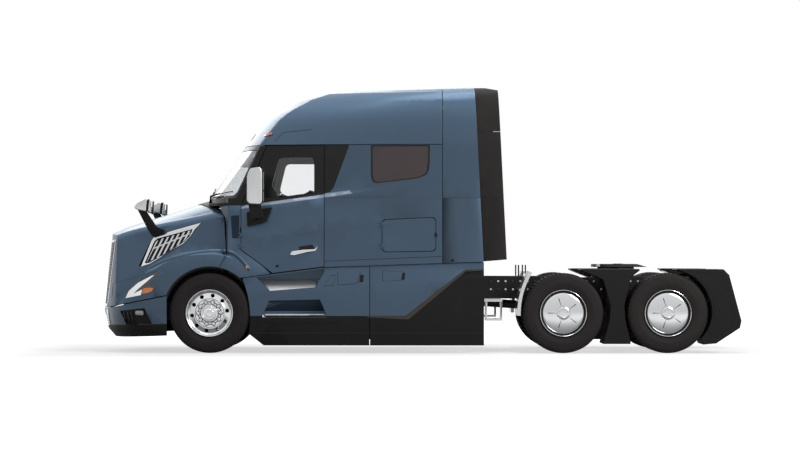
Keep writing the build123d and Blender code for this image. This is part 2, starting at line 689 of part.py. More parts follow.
def build_suspension():
    web = rail_half - rail_web
    low = rail_top - rail_height
    beam = slab(x_steer - 45, x_steer + 45, kingpin_half - 60, 400, 480)
    eye = Solid.make_cylinder(52, 80, Plane(origin=(x_steer, kingpin_half, 400)))
    reach = block(x_steer - 40, x_steer + 40, kingpin_half - 70, kingpin_half, 400, 480)
    hole = Solid.make_cylinder(steer_pin_radius + running_fit, 200, Plane(origin=(x_steer, kingpin_half, 350)))
    end = fuse([eye, reach]) - hole
    leaf = side_prism([(x_steer - 640, 645), (x_steer - 560, 600), (x_steer - 120, 480), (x_steer + 120, 480),
                       (x_steer + 560, 600), (x_steer + 640, 645), (x_steer + 620, 680), (x_steer + 520, 655),
                       (x_steer + 120, 545), (x_steer - 120, 545), (x_steer - 520, 655), (x_steer - 620, 680)], 345, 425)
    save("front_axle", fuse([beam, *[p for s in (end, leaf) for p in (s, mirrored(s))]]))

    solids = []
    for x in x_drives:
        tube = rod_y(x, axle_z, 75, -600, 600)
        stub = rod_y(x, axle_z, 60, 590, 1010)
        bowl = differential(x)
        arm = side_prism([(x - 470, low), (x - 380, low), (x - 330, 640), (x + 60, 440), (x + 375, 430), (x + 375, 400),
                          (x, 400), (x - 470, 610)], 345, 425)
        bag = Solid.make_cylinder(105, low - 430, Plane(origin=(x + 270, 425 - 105 + 20, 430)))
        foot = block(x - 60, x + 60, 345, 425, 400, 520)
        solids.append(fuse([tube, *bowl.solids(), *[p for s in (stub, arm, bag, foot) for p in (s, mirrored(s))]]))
    save("drive_axles", *solids)

    for side, sign in (("left", -1), ("right", 1)):
        pin = Solid.make_cylinder(steer_pin_radius, 160, Plane(origin=(x_steer, kingpin_half, 360)))
        top = block(x_steer - 45, x_steer + 45, kingpin_half - 40, kingpin_half + 75, 486, 520)
        bottom = block(x_steer - 45, x_steer + 45, kingpin_half - 40, kingpin_half + 75, 360, 394)
        cheek = block(x_steer - 60, x_steer + 60, kingpin_half + 60, kingpin_half + 85, 360, 640)
        spindle = rod_y(x_steer, axle_z, 40, kingpin_half + 84, 1150)
        whole = fuse([pin, top, bottom, cheek, spindle])
        save(f"knuckle_{side}", whole if sign > 0 else mirrored(whole))


def build_wheels():
    def ring(points, x):
        """A ring about an axle from points (y, radius)."""
        face = Face(Wire.make_polygon([(x, y, axle_z + r) for y, r in points], close=True))
        return Solid.revolve(face, 360, Axis((x, 0, axle_z), (0, 1, 0)))

    def tyre(x, middle):
        h = tyre_width / 2
        half_section = [(h - 42, rim_radius), (h - 20, rim_radius + 14), (h, 395), (h - 6, 462), (h - 22, 498),
                        (h - 44, tyre_radius)]
        points = [(middle + y, r) for y, r in half_section] + [(middle - y, r) for y, r in reversed(half_section)]
        return ring(points, x)

    def wheel(x, y0, y1, disc, hub_y, bore, hub_radius):
        """Barrel from y0 to y1, a disc (y, y) and a hub over the shaft."""
        barrel = ring([(y0, rim_radius), (y1, rim_radius), (y1, rim_radius - 18), (y0, rim_radius - 18)], x)
        plate = ring([(disc[0], bore), (disc[1], bore), (disc[1], rim_radius - 10), (disc[0], rim_radius - 10)], x)
        hub = ring([(hub_y[0], bore), (hub_y[1], bore), (hub_y[1], hub_radius), (hub_y[0], hub_radius)], x)
        return fuse([barrel, plate, hub])

    for side, sign in (("left", -1), ("right", 1)):
        place = (lambda s: s) if sign > 0 else mirrored
        h = tyre_width / 2
        y = front_track_half
        rim = wheel(x_steer, y - h + 12, y + h - 12, (1085, 1105), (kingpin_half + 95, 1150), 40 + running_fit, 120)
        cap = ring([(1150, 40 + running_fit), (1150, 118), (1156, 118), (1164, 90), (1170, 0), (1155, 0),
                    (1155, 40 + running_fit)], x_steer)
        holes = [rod_y(x_steer + 231 * math.cos(a), axle_z + 231 * math.sin(a), 25, 1060, 1120)
                 for a in [math.tau * i / 10 for i in range(10)]]
        rim = fuse([rim, cap])
        for hole in holes:
            rim = rim - hole
        save(f"steer_rim_{side}", place(rim))
        save(f"steer_tyre_{side}", place(tyre(x_steer, y)))
        for name, x in zip(("front", "rear"), x_drives):
            outer = rear_track_outer - h
            inner = outer - dual_spacing
            rim = wheel(x, inner - h + 12, outer + h - 12, (outer - dual_spacing / 2 - 25, outer - dual_spacing / 2 + 25),
                        (outer - dual_spacing / 2 - 130, 1010), 60 + running_fit, 140)
            cover = ring([(1188, 0), (1198, 70), (1176, 180), (1200, rim_radius - 12), (1192, rim_radius - 12),
                          (1168, 180), (1180, 0)], x)
            save(f"dual_rims_{name}_{side}", place(fuse([rim, cover])))
            save(f"dual_tyres_{name}_{side}", place(tyre(x, outer)), place(tyre(x, inner)))


def build_fifth_wheel():
    base = slab(plate_x - 340, plate_x + 260, rail_half, rail_top, rail_top + 25)
    stand = [(plate_x - 150, rail_top + 25), (plate_x + 150, rail_top + 25), (plate_x + 35, pivot_z),
             (plate_x, pivot_z + 35, "via"), (plate_x - 35, pivot_z)]
    pillar = side_prism(stand, bracket_inner, bracket_outer)
    pin_hole = rod_y(plate_x, pivot_z, 20 + running_fit, 300, 450)
    pillar = pillar - pin_hole
    save("fifth_wheel_base", fuse([base, pillar, mirrored(pillar)]))

    top = 1125
    under = 1087
    half = 457
    plan = [(plate_x - 350, -200, 60), (plate_x - 260, -half, 120), (plate_x + 200, -half, 60), (plate_x + 440, -250, 40),
            (plate_x + 440, -130, 20), (plate_x + 60, -45), (plate_x + 60, 45), (plate_x + 440, 130, 20),
            (plate_x + 440, 250, 40), (plate_x + 200, half, 60), (plate_x - 260, half, 120), (plate_x - 350, 200, 60)]
    plate = plan_prism(plan, under, top)
    wedge = side_prism([(plate_x + 200, top + 10), (plate_x + 200, top), (plate_x + 460, top - 70), (plate_x + 460, top + 10)],
                       -600, 600)
    plate = plate - wedge
    jaws = slab(plate_x + 20, plate_x + 70, 60, under - 15, top)
    plate = fuse([plate, jaws]) - Solid.make_cylinder(26, 200, Plane(origin=(plate_x, 0, under - 60)))
    lug = side_prism([(plate_x - 60, under), (plate_x - 30, pivot_z), (plate_x, pivot_z - 30, "via"),
                      (plate_x + 30, pivot_z), (plate_x + 60, under)], bracket_outer + 5, bracket_outer + 35)
    pin = rod_y(plate_x, pivot_z, 20, bracket_inner - 6, bracket_outer + 35)
    plate = fuse([plate, *both(lug), *both(pin)])
    save("fifth_wheel_plate", plate)


def build_rear_fenders():
    far = x_drives[1]
    near = x_drives[0]
    y0, y1 = rear_track_outer - 615, rear_track_outer
    middle = side_prism([(near + 219, 1065), (near + 962, 1065), (near + 962, 1045), (near + 850, 960), (near + 768, 611),
                         (near + 780, 420), (near + 850, 119), (near + 497, 119), (near + 580, 420), (near + 590, 611),
                         (near + 500, 930), (near + 219, 1045)], y0, y1)
    tail = side_prism([(far + 108, 1065), (far + 697, 1062), (far + 771, 989), (x_tail, 409), (far + 905, 321),
                       (far + 607, 126), (far + 443, 111), (far + 410, 185), (far + 552, 507, "via"),
                       (far + 500, 740), (far + 350, 938, "via"), (far + 108, 1048)], y0, y1)
    arms = []
    for x0, x1, z in ((near + 640, near + 680, 900), (far + 560, far + 600, 900)):
        arms.append(block(x0, x1, rail_half, y0, z - 25, z + 25))
    groups = [fuse([m, a]) for m, a in ((middle, arms[0]), (tail, arms[1]))]
    save("tandem_fenders", *[s for g in groups for s in both(g)])

    quarter = side_prism([(near - 433, 1036), (near - 549, 762, "via"), (near - 583, 476), (near - 541, 476),
                          (near - 507, 755, "via"), (near - 395, 1018)], y0, y1)
    arm = rod((near - 535, rail_half, 800), (near - 535, y1 - 100, 800), 19)
    save("quarter_fenders", *both(fuse([quarter, arm])))


# ---------------------------------------------------------------- interior
seat_half = 500


def build_interior():
    dash = side_prism([(floor_x, 1450), (floor_x, 1880, 20), (x_door + 190, 1900, 60), (x_door + 330, 1640, 40),
                       (x_door + 190, 1450)], -930, 930)
    wheel_x, wheel_z = x_door + 430, 1865
    tilt = Vector(0.75, 0, 0.66).normalized()
    wheel_plane = Plane(origin=(wheel_x, -seat_half, wheel_z), z_dir=tilt)
    rim = Solid.make_torus(215, 16, wheel_plane)
    back = tilt * 40
    hub = Solid.make_cylinder(50, 70, Plane(origin=Vector(wheel_x, -seat_half, wheel_z) - back, z_dir=tilt))
    column = rod(tuple(Vector(wheel_x, -seat_half, wheel_z) - tilt * 300), tuple(Vector(wheel_x, -seat_half, wheel_z) - back), 35)
    spokes = [rod((wheel_x, -seat_half, wheel_z), tuple(Vector(wheel_x, -seat_half, wheel_z) + d * 212), 11)
              for d in (Vector(0, 1, 0), Vector(0, -1, 0))]
    save("dashboard", fuse([dash, rim, hub, column, *spokes]))

    base_top = floor_z + floor_thickness
    seats, frames = [], []
    for y in (-seat_half, seat_half):
        frames.append(block(x_post - 440, x_post - 100, y - 170, y + 170, base_top, 1540))
        cushion = side_prism([(x_post - 460, 1540), (x_post - 460, 1670, 60), (x_post - 60, 1650), (x_post - 60, 1540)],
                             y - 250, y + 250)
        rest = side_prism([(x_post - 60, 1540), (x_post - 60, 1700, 60), (x_post + 60, 2180), (x_post + 150, 2180),
                           (x_post + 60, 1540)], y - 250, y + 250)
        head = side_prism([(x_post + 70, 2180), (x_post + 80, 2330, 30), (x_post + 160, 2330, 30), (x_post + 140, 2180)],
                          y - 140, y + 140)
        seats.append(fuse([cushion, rest, head]))
    bunk_x = (x_post + 640, x_rear - body_wall)
    cabinet = slab(*bunk_x, 1000, base_top, 1660)
    mattress = slab(*bunk_x, 1040, 1660, 1830)
    save("seat_bases", *frames, cabinet)
    save("seats_and_bunk", *seats, mattress)


# ---------------------------------------------------------------- outside fittings
def build_fittings():
    tank = rod((tank_x[0], tank_half, tank_z), (tank_x[1], tank_half, tank_z), tank_radius)
    save("fuel_tanks", *both(tank))

    mirror_y = 1330
    for side, sign in (("left", -1), ("right", 1)):
        place = mirrored if sign < 0 else (lambda s: s)
        head = side_prism([(x_door + 119, 1869, 50), (x_door + 119, 2331, 60), (x_door + 301, 2331, 60), (x_door + 301, 1869, 50)],
                          1330, 1500)
        foot = block(x_door + 90, x_door + 400, 1100, 1215, 1640, 1860) - lower_core
        foot = foot - lower_skin
        arm = rod((x_door + 210, 1150, 1800), (x_door + 210, 1420, 1890), 28)
        arm = arm - lower_skin
        save(f"door_mirror_{side}", place(fuse([head, *foot.solids(), *arm.solids()])))

    base = rod((x_nose + 640, 760, 1470), (x_nose + 640, 900, 1790), 16) - hood_form(0)
    head = side_prism([(x_nose + 515, 1766, 40), (x_nose + 515, 1955, 50), (x_nose + 761, 1955, 50), (x_nose + 761, 1766, 40)],
                      880, 1010)
    save("hood_mirrors", *both(fuse([*base.solids(), head])))

    tread = block(x_skirt_end + 9, x_skirt_end + 230, rail_half, 1150, 655, 680)
    legs = [block(x_skirt_end + 20 + dx, x_skirt_end + 44 + dx, y, y + 24, 412, 660) for dx in (0, 190) for y in (1110,)]
    rung = block(x_skirt_end + 20, x_skirt_end + 234, 900, 1134, 412, 440)
    drop = [block(x_skirt_end + 20 + dx, x_skirt_end + 44 + dx, 900, 924, 412, 660) for dx in (0, 190)]
    save("deck_steps", *both(fuse([tread, *legs, rung, *drop])))

    box = block(x_steer + 760, x_steer + 1330, rail_half, 900, 490, 745)
    save("battery_boxes", *both(box))


for build in (build_cab, build_doors, build_extenders, build_skirts, build_hood, build_bumper, build_frame, build_engine,
              build_suspension, build_wheels, build_fifth_wheel, build_rear_fenders, build_interior, build_fittings):
    build()
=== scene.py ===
import bpy
import bmesh
import math
from mathutils import Vector, Matrix
from mathutils.bvhtree import BVHTree


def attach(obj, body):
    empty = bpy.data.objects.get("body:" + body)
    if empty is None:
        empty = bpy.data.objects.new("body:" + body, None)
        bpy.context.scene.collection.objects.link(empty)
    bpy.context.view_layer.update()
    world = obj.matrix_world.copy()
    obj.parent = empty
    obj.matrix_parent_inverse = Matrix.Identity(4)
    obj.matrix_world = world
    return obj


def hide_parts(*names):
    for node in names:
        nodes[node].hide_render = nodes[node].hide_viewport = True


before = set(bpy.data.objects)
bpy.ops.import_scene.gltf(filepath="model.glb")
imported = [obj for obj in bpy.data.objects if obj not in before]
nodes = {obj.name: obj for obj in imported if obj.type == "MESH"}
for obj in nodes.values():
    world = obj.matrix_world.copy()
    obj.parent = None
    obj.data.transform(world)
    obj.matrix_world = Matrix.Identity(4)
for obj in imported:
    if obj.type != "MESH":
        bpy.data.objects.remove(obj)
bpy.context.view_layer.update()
print("frame loaded:", len(nodes), "solids")

scene = bpy.context.scene
scene.view_settings.view_transform = "Standard"


# ---- shader helpers

def newGroup(name, inputs, outputs):
    group = bpy.data.node_groups.new(name, "ShaderNodeTree")
    for title, kind, value in inputs:
        socket = group.interface.new_socket(title, in_out="INPUT", socket_type=kind)
        if value is not None:
            socket.default_value = value
    for title, kind in outputs:
        group.interface.new_socket(title, in_out="OUTPUT", socket_type=kind)
    return group, group.nodes.new("NodeGroupInput"), group.nodes.new("NodeGroupOutput")


def setInput(tree, socket, value):
    if isinstance(value, bpy.types.NodeSocket):
        tree.links.new(value, socket)
    elif value is not None:
        socket.default_value = value


def mathNode(tree, operation, a, b=None, clamp=False):
    node = tree.nodes.new("ShaderNodeMath")
    node.operation = operation
    node.use_clamp = clamp
    setInput(tree, node.inputs[0], a)
    setInput(tree, node.inputs[1], b)
    return node.outputs[0]


def noiseNode(tree, vector, scale, detail=4.0, roughness=0.55):
    node = tree.nodes.new("ShaderNodeTexNoise")
    node.inputs["Detail"].default_value = detail
    node.inputs["Roughness"].default_value = roughness
    setInput(tree, node.inputs["Scale"], scale)
    tree.links.new(vector, node.inputs["Vector"])
    return node.outputs["Fac"]


def mapRange(tree, value, low, high, toLow, toHigh):
    node = tree.nodes.new("ShaderNodeMapRange")
    tree.links.new(value, node.inputs[0])
    for socket, number in zip(node.inputs[1:5], (low, high, toLow, toHigh)):
        setInput(tree, socket, number)
    return node.outputs[0]


def objectCoords(tree, stretch=None):
    coords = tree.nodes.new("ShaderNodeTexCoord").outputs["Object"]
    if stretch is None:
        return coords
    mapping = tree.nodes.new("ShaderNodeMapping")
    mapping.inputs["Scale"].default_value = stretch
    tree.links.new(coords, mapping.inputs["Vector"])
    return mapping.outputs["Vector"]


# slow colour and gloss drift, a fine grain, and painted shade by facing, for every finish
def buildDriftShadeGroup():
    group, start, end = newGroup("driftAndPaintedShade", [
        ("Vector", "NodeSocketVector", None), ("Colour", "NodeSocketColor", (0.5, 0.5, 0.5, 1)),
        ("Drift", "NodeSocketFloat", 0.1), ("Drift Scale", "NodeSocketFloat", 1.5),
        ("Roughness", "NodeSocketFloat", 0.4), ("Gloss Drift", "NodeSocketFloat", 0.1),
        ("Grain Scale", "NodeSocketFloat", 300.0), ("Lift", "NodeSocketFloat", 0.0),
    ], [("Colour", "NodeSocketColor"), ("Roughness", "NodeSocketFloat"), ("Grain", "NodeSocketFloat")])
    slow = noiseNode(group, start.outputs["Vector"], start.outputs["Drift Scale"], 3.0)
    centred = mathNode(group, "SUBTRACT", slow, 0.5)
    shade = mathNode(group, "MULTIPLY_ADD", centred, start.outputs["Drift"])
    shade.node.inputs[2].default_value = 1.0
    # painted shade: the colour is made lighter where the surface faces up and darker where it faces down, as
    # light from above would make it
    facing = group.nodes.new("ShaderNodeSeparateXYZ")
    group.links.new(group.nodes.new("ShaderNodeNewGeometry").outputs["Normal"], facing.inputs[0])
    facingShade = mathNode(group, "ADD", mapRange(group, facing.outputs[2], 0.0, 0.7, 0, 1),
                      mapRange(group, facing.outputs[2], -0.4, 0, -0.35, 0))
    paintedShadeFactor = mathNode(group, "MULTIPLY_ADD", facingShade, start.outputs["Lift"])
    paintedShadeFactor.node.inputs[2].default_value = 1.0
    scaled = group.nodes.new("ShaderNodeVectorMath")
    scaled.operation = "SCALE"
    group.links.new(start.outputs["Colour"], scaled.inputs[0])
    group.links.new(mathNode(group, "MULTIPLY", shade, paintedShadeFactor), scaled.inputs["Scale"])
    group.links.new(scaled.outputs[0], end.inputs["Colour"])
    smudge = noiseNode(group, start.outputs["Vector"],
                       mathNode(group, "MULTIPLY", start.outputs["Drift Scale"], 4.3), 5.0)
    offset = mathNode(group, "MULTIPLY", mathNode(group, "SUBTRACT", smudge, 0.5),
                      start.outputs["Gloss Drift"])
    group.links.new(mathNode(group, "ADD", offset, start.outputs["Roughness"], True), end.inputs["Roughness"])
    group.links.new(noiseNode(group, start.outputs["Vector"], start.outputs["Grain Scale"], 2.0),
                    end.inputs["Grain"])
    return group


driftShadeGroup = buildDriftShadeGroup()


def newMaterial(name, finish):
    material = bpy.data.materials.new(name)
    material.use_nodes = True
    tree = material.node_tree
    shader = tree.nodes["Principled BSDF"]
    drift = tree.nodes.new("ShaderNodeGroup")
    drift.node_tree = driftShadeGroup
    tree.links.new(objectCoords(tree, finish.get("stretch")), drift.inputs["Vector"])
    drift.inputs["Colour"].default_value = (*finish["colour"], 1)
    drift.inputs["Drift"].default_value = finish.get("drift", 0.15)
    drift.inputs["Drift Scale"].default_value = finish.get("driftScale", 1.5)
    drift.inputs["Roughness"].default_value = finish["roughness"]
    drift.inputs["Gloss Drift"].default_value = finish.get("glossDrift", 0.08)
    drift.inputs["Grain Scale"].default_value = finish.get("grainScale", 400)
    drift.inputs["Lift"].default_value = finish.get("paintedShade", 0.0)
    tree.links.new(drift.outputs["Colour"], shader.inputs["Base Color"])
    tree.links.new(drift.outputs["Roughness"], shader.inputs["Roughness"])
    shader.inputs["Metallic"].default_value = finish.get("metallic", 0.0)
    shader.inputs["Coat Weight"].default_value = finish.get("coat", 0.0)
    shader.inputs["Coat Roughness"].default_value = finish.get("coatRoughness", 0.04)
    shader.inputs["Specular IOR Level"].default_value = finish.get("specular", 0.5)
    shader.inputs["Transmission Weight"].default_value = finish.get("transmission", 0.0)
    shader.inputs["IOR"].default_value = finish.get("ior", 1.45)
    if finish.get("bump"):
        bump = tree.nodes.new("ShaderNodeBump")
        bump.inputs["Strength"].default_value = finish["bump"]
        bump.inputs["Distance"].default_value = finish.get("bumpDistance", 0.001)
        tree.links.new(drift.outputs["Grain"], bump.inputs["Height"])
        tree.links.new(bump.outputs["Normal"], shader.inputs["Normal"])
    if finish.get("glow"):
        shader.inputs["Emission Color"].default_value = (*finish["colour"], 1)
        shader.inputs["Emission Strength"].default_value = finish["glow"]
    return material


# each finish's top-light value paints shade by facing: its colour is made lighter facing up and darker facing
# down
finishes = {
    "bodyPaint": {"colour": (0.050, 0.084, 0.130), "roughness": 0.34, "metallic": 0.35, "paintedShade": 1.3,
                  "coat": 0.18, "specular": 0.25, "drift": 0.05,
                  "driftScale": 0.8, "glossDrift": 0.05, "grainScale": 900, "bump": 0.04,
                  "bumpDistance": 0.0004},
    # painted highlight: a lighter paint, strongly lightened where it faces up, laid on the band under the
    # belt line
    "shoulderHighlightPaint": {"colour": (0.120, 0.150, 0.190), "roughness": 0.26, "metallic": 0.3, "paintedShade": 4.2,
                      "coat": 0.5, "drift": 0.05, "glossDrift": 0.05},
    # painted shade: a dark blue laid flat where a recess would be in shade
    "recessPaint": {"colour": (0.014, 0.028, 0.046), "roughness": 0.4, "metallic": 0.2, "specular": 0.2,
                    "drift": 0.2},
    "edgePlastic": {"colour": (0.060, 0.053, 0.050), "roughness": 0.5, "specular": 0.2, "drift": 0.2,
                    "glossDrift": 0.1, "grainScale": 700, "bump": 0.2, "bumpDistance": 0.0006},
    "archPlastic": {"colour": (0.026, 0.023, 0.023), "roughness": 0.55, "specular": 0.2, "drift": 0.3,
                    "glossDrift": 0.15, "grainScale": 700, "bump": 0.2, "bumpDistance": 0.0006},
    "blackPaint": {"colour": (0.009, 0.008, 0.008), "roughness": 0.3, "coat": 0.15, "specular": 0.15,
                   "drift": 0.2, "glossDrift": 0.1},
    "blackPlastic": {"colour": (0.012, 0.011, 0.011), "roughness": 0.5, "specular": 0.14, "drift": 0.35,
                     "glossDrift": 0.18, "grainScale": 700, "bump": 0.25, "bumpDistance": 0.0006},
    "rubber": {"colour": (0.020, 0.017, 0.017), "roughness": 0.7, "specular": 0.2, "drift": 0.3,
               "driftScale": 4, "glossDrift": 0.2, "grainScale": 500, "bump": 0.3, "bumpDistance": 0.0008},
    "chrome": {"colour": (0.52, 0.53, 0.54), "roughness": 0.10, "paintedShade": 0.75, "metallic": 1.0, "drift": 0.06,
               "glossDrift": 0.1, "grainScale": 200, "bump": 0.02, "bumpDistance": 0.0003},
    "aluminium": {"colour": (0.44, 0.45, 0.46), "roughness": 0.26, "paintedShade": 0.8, "metallic": 1.0, "drift": 0.1,
                  "driftScale": 5,
                  "glossDrift": 0.15, "grainScale": 300, "bump": 0.06, "bumpDistance": 0.0004},
    "brushedSteel": {"colour": (0.5, 0.5, 0.51), "roughness": 0.38, "metallic": 1.0, "drift": 0.2,
                     "driftScale": 3,
                     "glossDrift": 0.2, "stretch": (1, 12, 1), "grainScale": 120, "bump": 0.1},
    "framePaint": {"colour": (0.016, 0.015, 0.015), "roughness": 0.48, "specular": 0.2, "drift": 0.3,
                   "driftScale": 3, "glossDrift": 0.2, "bump": 0.15},
    "castIron": {"colour": (0.03, 0.03, 0.031), "roughness": 0.55, "metallic": 0.35, "drift": 0.5,
                 "driftScale": 6, "glossDrift": 0.3, "grainScale": 150, "bump": 0.4, "bumpDistance": 0.001},
    "clearGlass": {"colour": (0.93, 0.95, 0.95), "roughness": 0.0, "transmission": 1.0, "drift": 0.0,
                   "glossDrift": 0.0},
    "tintedGlass": {"colour": (0.062, 0.047, 0.050), "roughness": 0.05, "drift": 0.1, "glossDrift": 0.02,
                    "specular": 0.3},
    "frontGlass": {"colour": (0.80, 0.83, 0.85), "roughness": 0.0, "transmission": 1.0, "drift": 0.0,
                   "glossDrift": 0.0},
    "sideGlass": {"colour": (0.93, 0.94, 0.95), "roughness": 0.0, "transmission": 1.0, "drift": 0.0,
                  "glossDrift": 0.0},
    "interiorPlastic": {"colour": (0.08, 0.08, 0.085), "roughness": 0.6, "drift": 0.2, "bump": 0.3,
                        "grainScale": 600},
    "seatCloth": {"colour": (0.09, 0.09, 0.1), "roughness": 0.9, "drift": 0.3, "driftScale": 12, "bump": 0.5,
                  "grainScale": 900},
    "meshSteel": {"colour": (0.20, 0.20, 0.205), "roughness": 0.34, "metallic": 0.9, "paintedShade": 0.5},
    "satinSilver": {"colour": (0.50, 0.51, 0.52), "roughness": 0.30, "metallic": 0.85, "drift": 0.08,
                    "driftScale": 4, "glossDrift": 0.1, "coat": 0.4},
    "lampDark": {"colour": (0.018, 0.018, 0.02), "roughness": 0.06, "coat": 1.0, "drift": 0.3},
    "lampWhite": {"colour": (0.92, 0.93, 0.95), "roughness": 0.12, "coat": 1.0, "drift": 0.03, "glow": 0.35},
    "lampAmber": {"colour": (0.80, 0.20, 0.015), "roughness": 0.14, "coat": 1.0, "drift": 0.1,
                  "driftScale": 20, "glow": 0.05},
    "lampRed": {"colour": (0.45, 0.008, 0.006), "roughness": 0.14, "coat": 1.0, "drift": 0.1,
                "driftScale": 20},
    "lampGlass": {"colour": (0.9, 0.92, 0.95), "roughness": 0.05, "transmission": 0.6, "coat": 1.0},
}
paint = {name: newMaterial(name, finish) for name, finish in finishes.items()}
print("materials:", len(paint))


def dress(name, material):
    mesh = nodes[name].data
    mesh.materials.clear()
    mesh.materials.append(material)


dressing = {
    "bodyPaint": ("cab_front", "cab_sides", "cab_roof", "side_extenders", "hood", "side_skirts", "bumper",
                  "door_left", "door_right", "luggage_door_left", "luggage_door_right"),
    "blackPlastic": ("lower_valances", "tandem_fenders", "grille", "cab_rear_wall", "battery_boxes",
                     "extender_flaps", "bumper_inserts"),
    "clearGlass": ("cab_glass", "door_glass_left", "door_glass_right"),
    "lampGlass": ("headlamps",),
    "chrome": ("door_mirror_left", "door_mirror_right", "hood_mirrors"),
    "framePaint": ("frame_rails", "cross_members", "frame_brackets", "front_axle", "drive_axles",
                   "knuckle_left", "knuckle_right"),
    "castIron": ("engine", "fifth_wheel_base", "fifth_wheel_plate"),
    "aluminium": ("radiator", "fuel_tanks", "deck_steps", "quarter_fenders", "steer_rim_left",
                  "steer_rim_right"),
    "interiorPlastic": ("cab_floor", "dashboard", "seat_bases"),
    "seatCloth": ("seats_and_bunk",),
}
for finish, names in dressing.items():
    for name in names:
        dress(name, paint[finish])
for name in nodes:
    if name.startswith("dual_rims"):
        dress(name, paint["chrome"])
    elif "tyre" in name:
        dress(name, paint["rubber"])


# ---- mesh helpers

def finishPiece(name, bm, body, materials, slotName, replaced=(), sharp=32, bevel=None, mirrorY=False,
                subdivide=0, turn=True):
    if mirrorY:
        bmesh.ops.scale(bm, vec=(1, -1, 1), verts=bm.verts)
    bmesh.ops.remove_doubles(bm, verts=bm.verts, dist=0.00005)
    if turn:
        bmesh.ops.recalc_face_normals(bm, faces=bm.faces)
    mesh = bpy.data.meshes.new(name)
    bm.to_mesh(mesh)
    bm.free()
    return finishMesh(name, mesh, body, materials, slotName, replaced, sharp, bevel, subdivide)


finishedSkin = {}      # the panel that now stands for a painted node


def finishMesh(name, mesh, body, materials, slotName, replaced=(), sharp=32, bevel=None, subdivide=0):
    piece = bpy.data.objects.new(name, mesh)
    scene.collection.objects.link(piece)
    for finish in ([materials] if isinstance(materials, str) else materials):
        mesh.materials.append(paint[finish])
    mesh.polygons.foreach_set("use_smooth", [True] * len(mesh.polygons))
    mesh.set_sharp_from_angle(angle=math.radians(sharp))
    if bevel:
        edge = piece.modifiers.new("edges", "BEVEL")
        edge.width, edge.segments = bevel, 2
        edge.limit_method, edge.angle_limit = "ANGLE", math.radians(sharp)
        edge.use_clamp_overlap = True
        edge.harden_normals = True
    if subdivide:
        smooth = piece.modifiers.new("smooth", "SUBSURF")
        smooth.levels = smooth.render_levels = subdivide
    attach(piece, body)
    if replaced:
        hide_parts(*replaced)
        if slotName == "body_paint":
            for node in replaced:
                finishedSkin.setdefault(node, mesh)
    return piece


# a closed or open outline of (y, radius) spun about an axle along Y
def spinAboutY(bm, outline, centre, steps=72, material=0, closed=True):
    x, z = centre
    verts = [bm.verts.new((x, y, z + max(r, 0.0))) for y, r in outline]
    pairs = list(zip(verts, verts[1:])) + ([(verts[-1], verts[0])] if closed else [])
    edges = [bm.edges.new(pair) for pair in pairs]
    known = set(bm.faces)
    bmesh.ops.spin(bm, geom=verts + edges, cent=(x, 0, z), axis=(0, 1, 0), angle=math.tau, steps=steps,
                   use_merge=True)
    faces = [f for f in bm.faces if f not in known]
    for face in faces:
        face.material_index = material
    bmesh.ops.remove_doubles(bm, verts=list({v for f in faces for v in f.verts}), dist=0.00002)
    return [f for f in bm.faces if f not in known]


# a flat outline pushed through from one side to the other
def addPlate(bm, outline, place, depth, material=0):
    verts = [bm.verts.new(place(u, v)) for u, v in outline]
    face = bm.faces.new(verts)
    face.material_index = material
    grown = bmesh.ops.extrude_face_region(bm, geom=[face], use_keep_orig=True)
    moved = [g for g in grown["geom"] if isinstance(g, bmesh.types.BMVert)]
    bmesh.ops.translate(bm, vec=depth, verts=moved)
    fresh = {f for v in moved for f in v.link_faces} | {face}
    for f in fresh:
        f.material_index = material
    return list(fresh)


def sidePlate(bm, outline, y0, y1, material=0):
    return addPlate(bm, outline, lambda u, v: (u, y0, v), (0, y1 - y0, 0), material)


def topPlate(bm, outline, z0, z1, material=0):
    return addPlate(bm, outline, lambda u, v: (u, v, z0), (0, 0, z1 - z0), material)


def addBox(bm, low, high, material=0):
    corners = [(low[0], low[1]), (high[0], low[1]), (high[0], high[1]), (low[0], high[1])]
    return topPlate(bm, corners, low[2], high[2], material)


def addRod(bm, start, end, radius, segments=16, material=0, radius2=None):
    start, end = Vector(start), Vector(end)
    span = end - start
    turn = span.to_track_quat("Z", "Y").to_matrix().to_4x4()
    made = bmesh.ops.create_cone(bm, cap_ends=True, segments=segments, radius1=radius,
                                 radius2=radius if radius2 is None else radius2, depth=span.length,
                                 matrix=Matrix.Translation((start + end) / 2) @ turn)
    faces = {f for v in made["verts"] for f in v.link_faces}
    for face in faces:
        face.material_index = material
    return list(faces)


# a closed tube along points, with a round section
def addTube(bm, points, radius, segments=12, material=0):
    rings = []
    points = [Vector(p) for p in points]
    for i, p in enumerate(points):
        ahead = (points[min(i + 1, len(points) - 1)] - points[max(i - 1, 0)]).normalized()
        side = ahead.cross(Vector((0, 0, 1)) if abs(ahead.z) < 0.9 else Vector((0, 1, 0))).normalized()
        up = side.cross(ahead)
        rings.append([bm.verts.new(p + (side * math.cos(a) + up * math.sin(a)) * radius)
                      for a in [math.tau * k / segments for k in range(segments)]])
    faces = []
    for low, high in zip(rings, rings[1:]):
        for k in range(segments):
            faces.append(bm.faces.new((low[k], low[(k + 1) % segments], high[(k + 1) % segments], high[k])))
    faces += [bm.faces.new(rings[0]), bm.faces.new(rings[-1])]
    for face in faces:
        face.material_index = material
    return faces


def bevelEdges(bm, width, segments=2, angle=30):
    edges = [e for e in bm.edges if len(e.link_faces) == 2 and e.calc_face_angle(0) > math.radians(angle)]
    bmesh.ops.bevel(bm, geom=edges, offset=width, offset_type="OFFSET", segments=segments, profile=0.5,
                    affect="EDGES", material=-1, clamp_overlap=True)


sides = (("Left", -1), ("Right", 1))


# ---- wheels and tyres

tyreSize = {"radius": 0.507, "rim": 0.290, "width": 0.285, "steps": 120, "ribs": 5,
            "steerMiddle": 1.035, "dualMiddles": (0.7675, 1.0975)}
axleHeight = 0.507
axles = {"steer": -2.6325, "front": 1.8375, "rear": 3.1575}
drivePlaces = ("front", "rear")


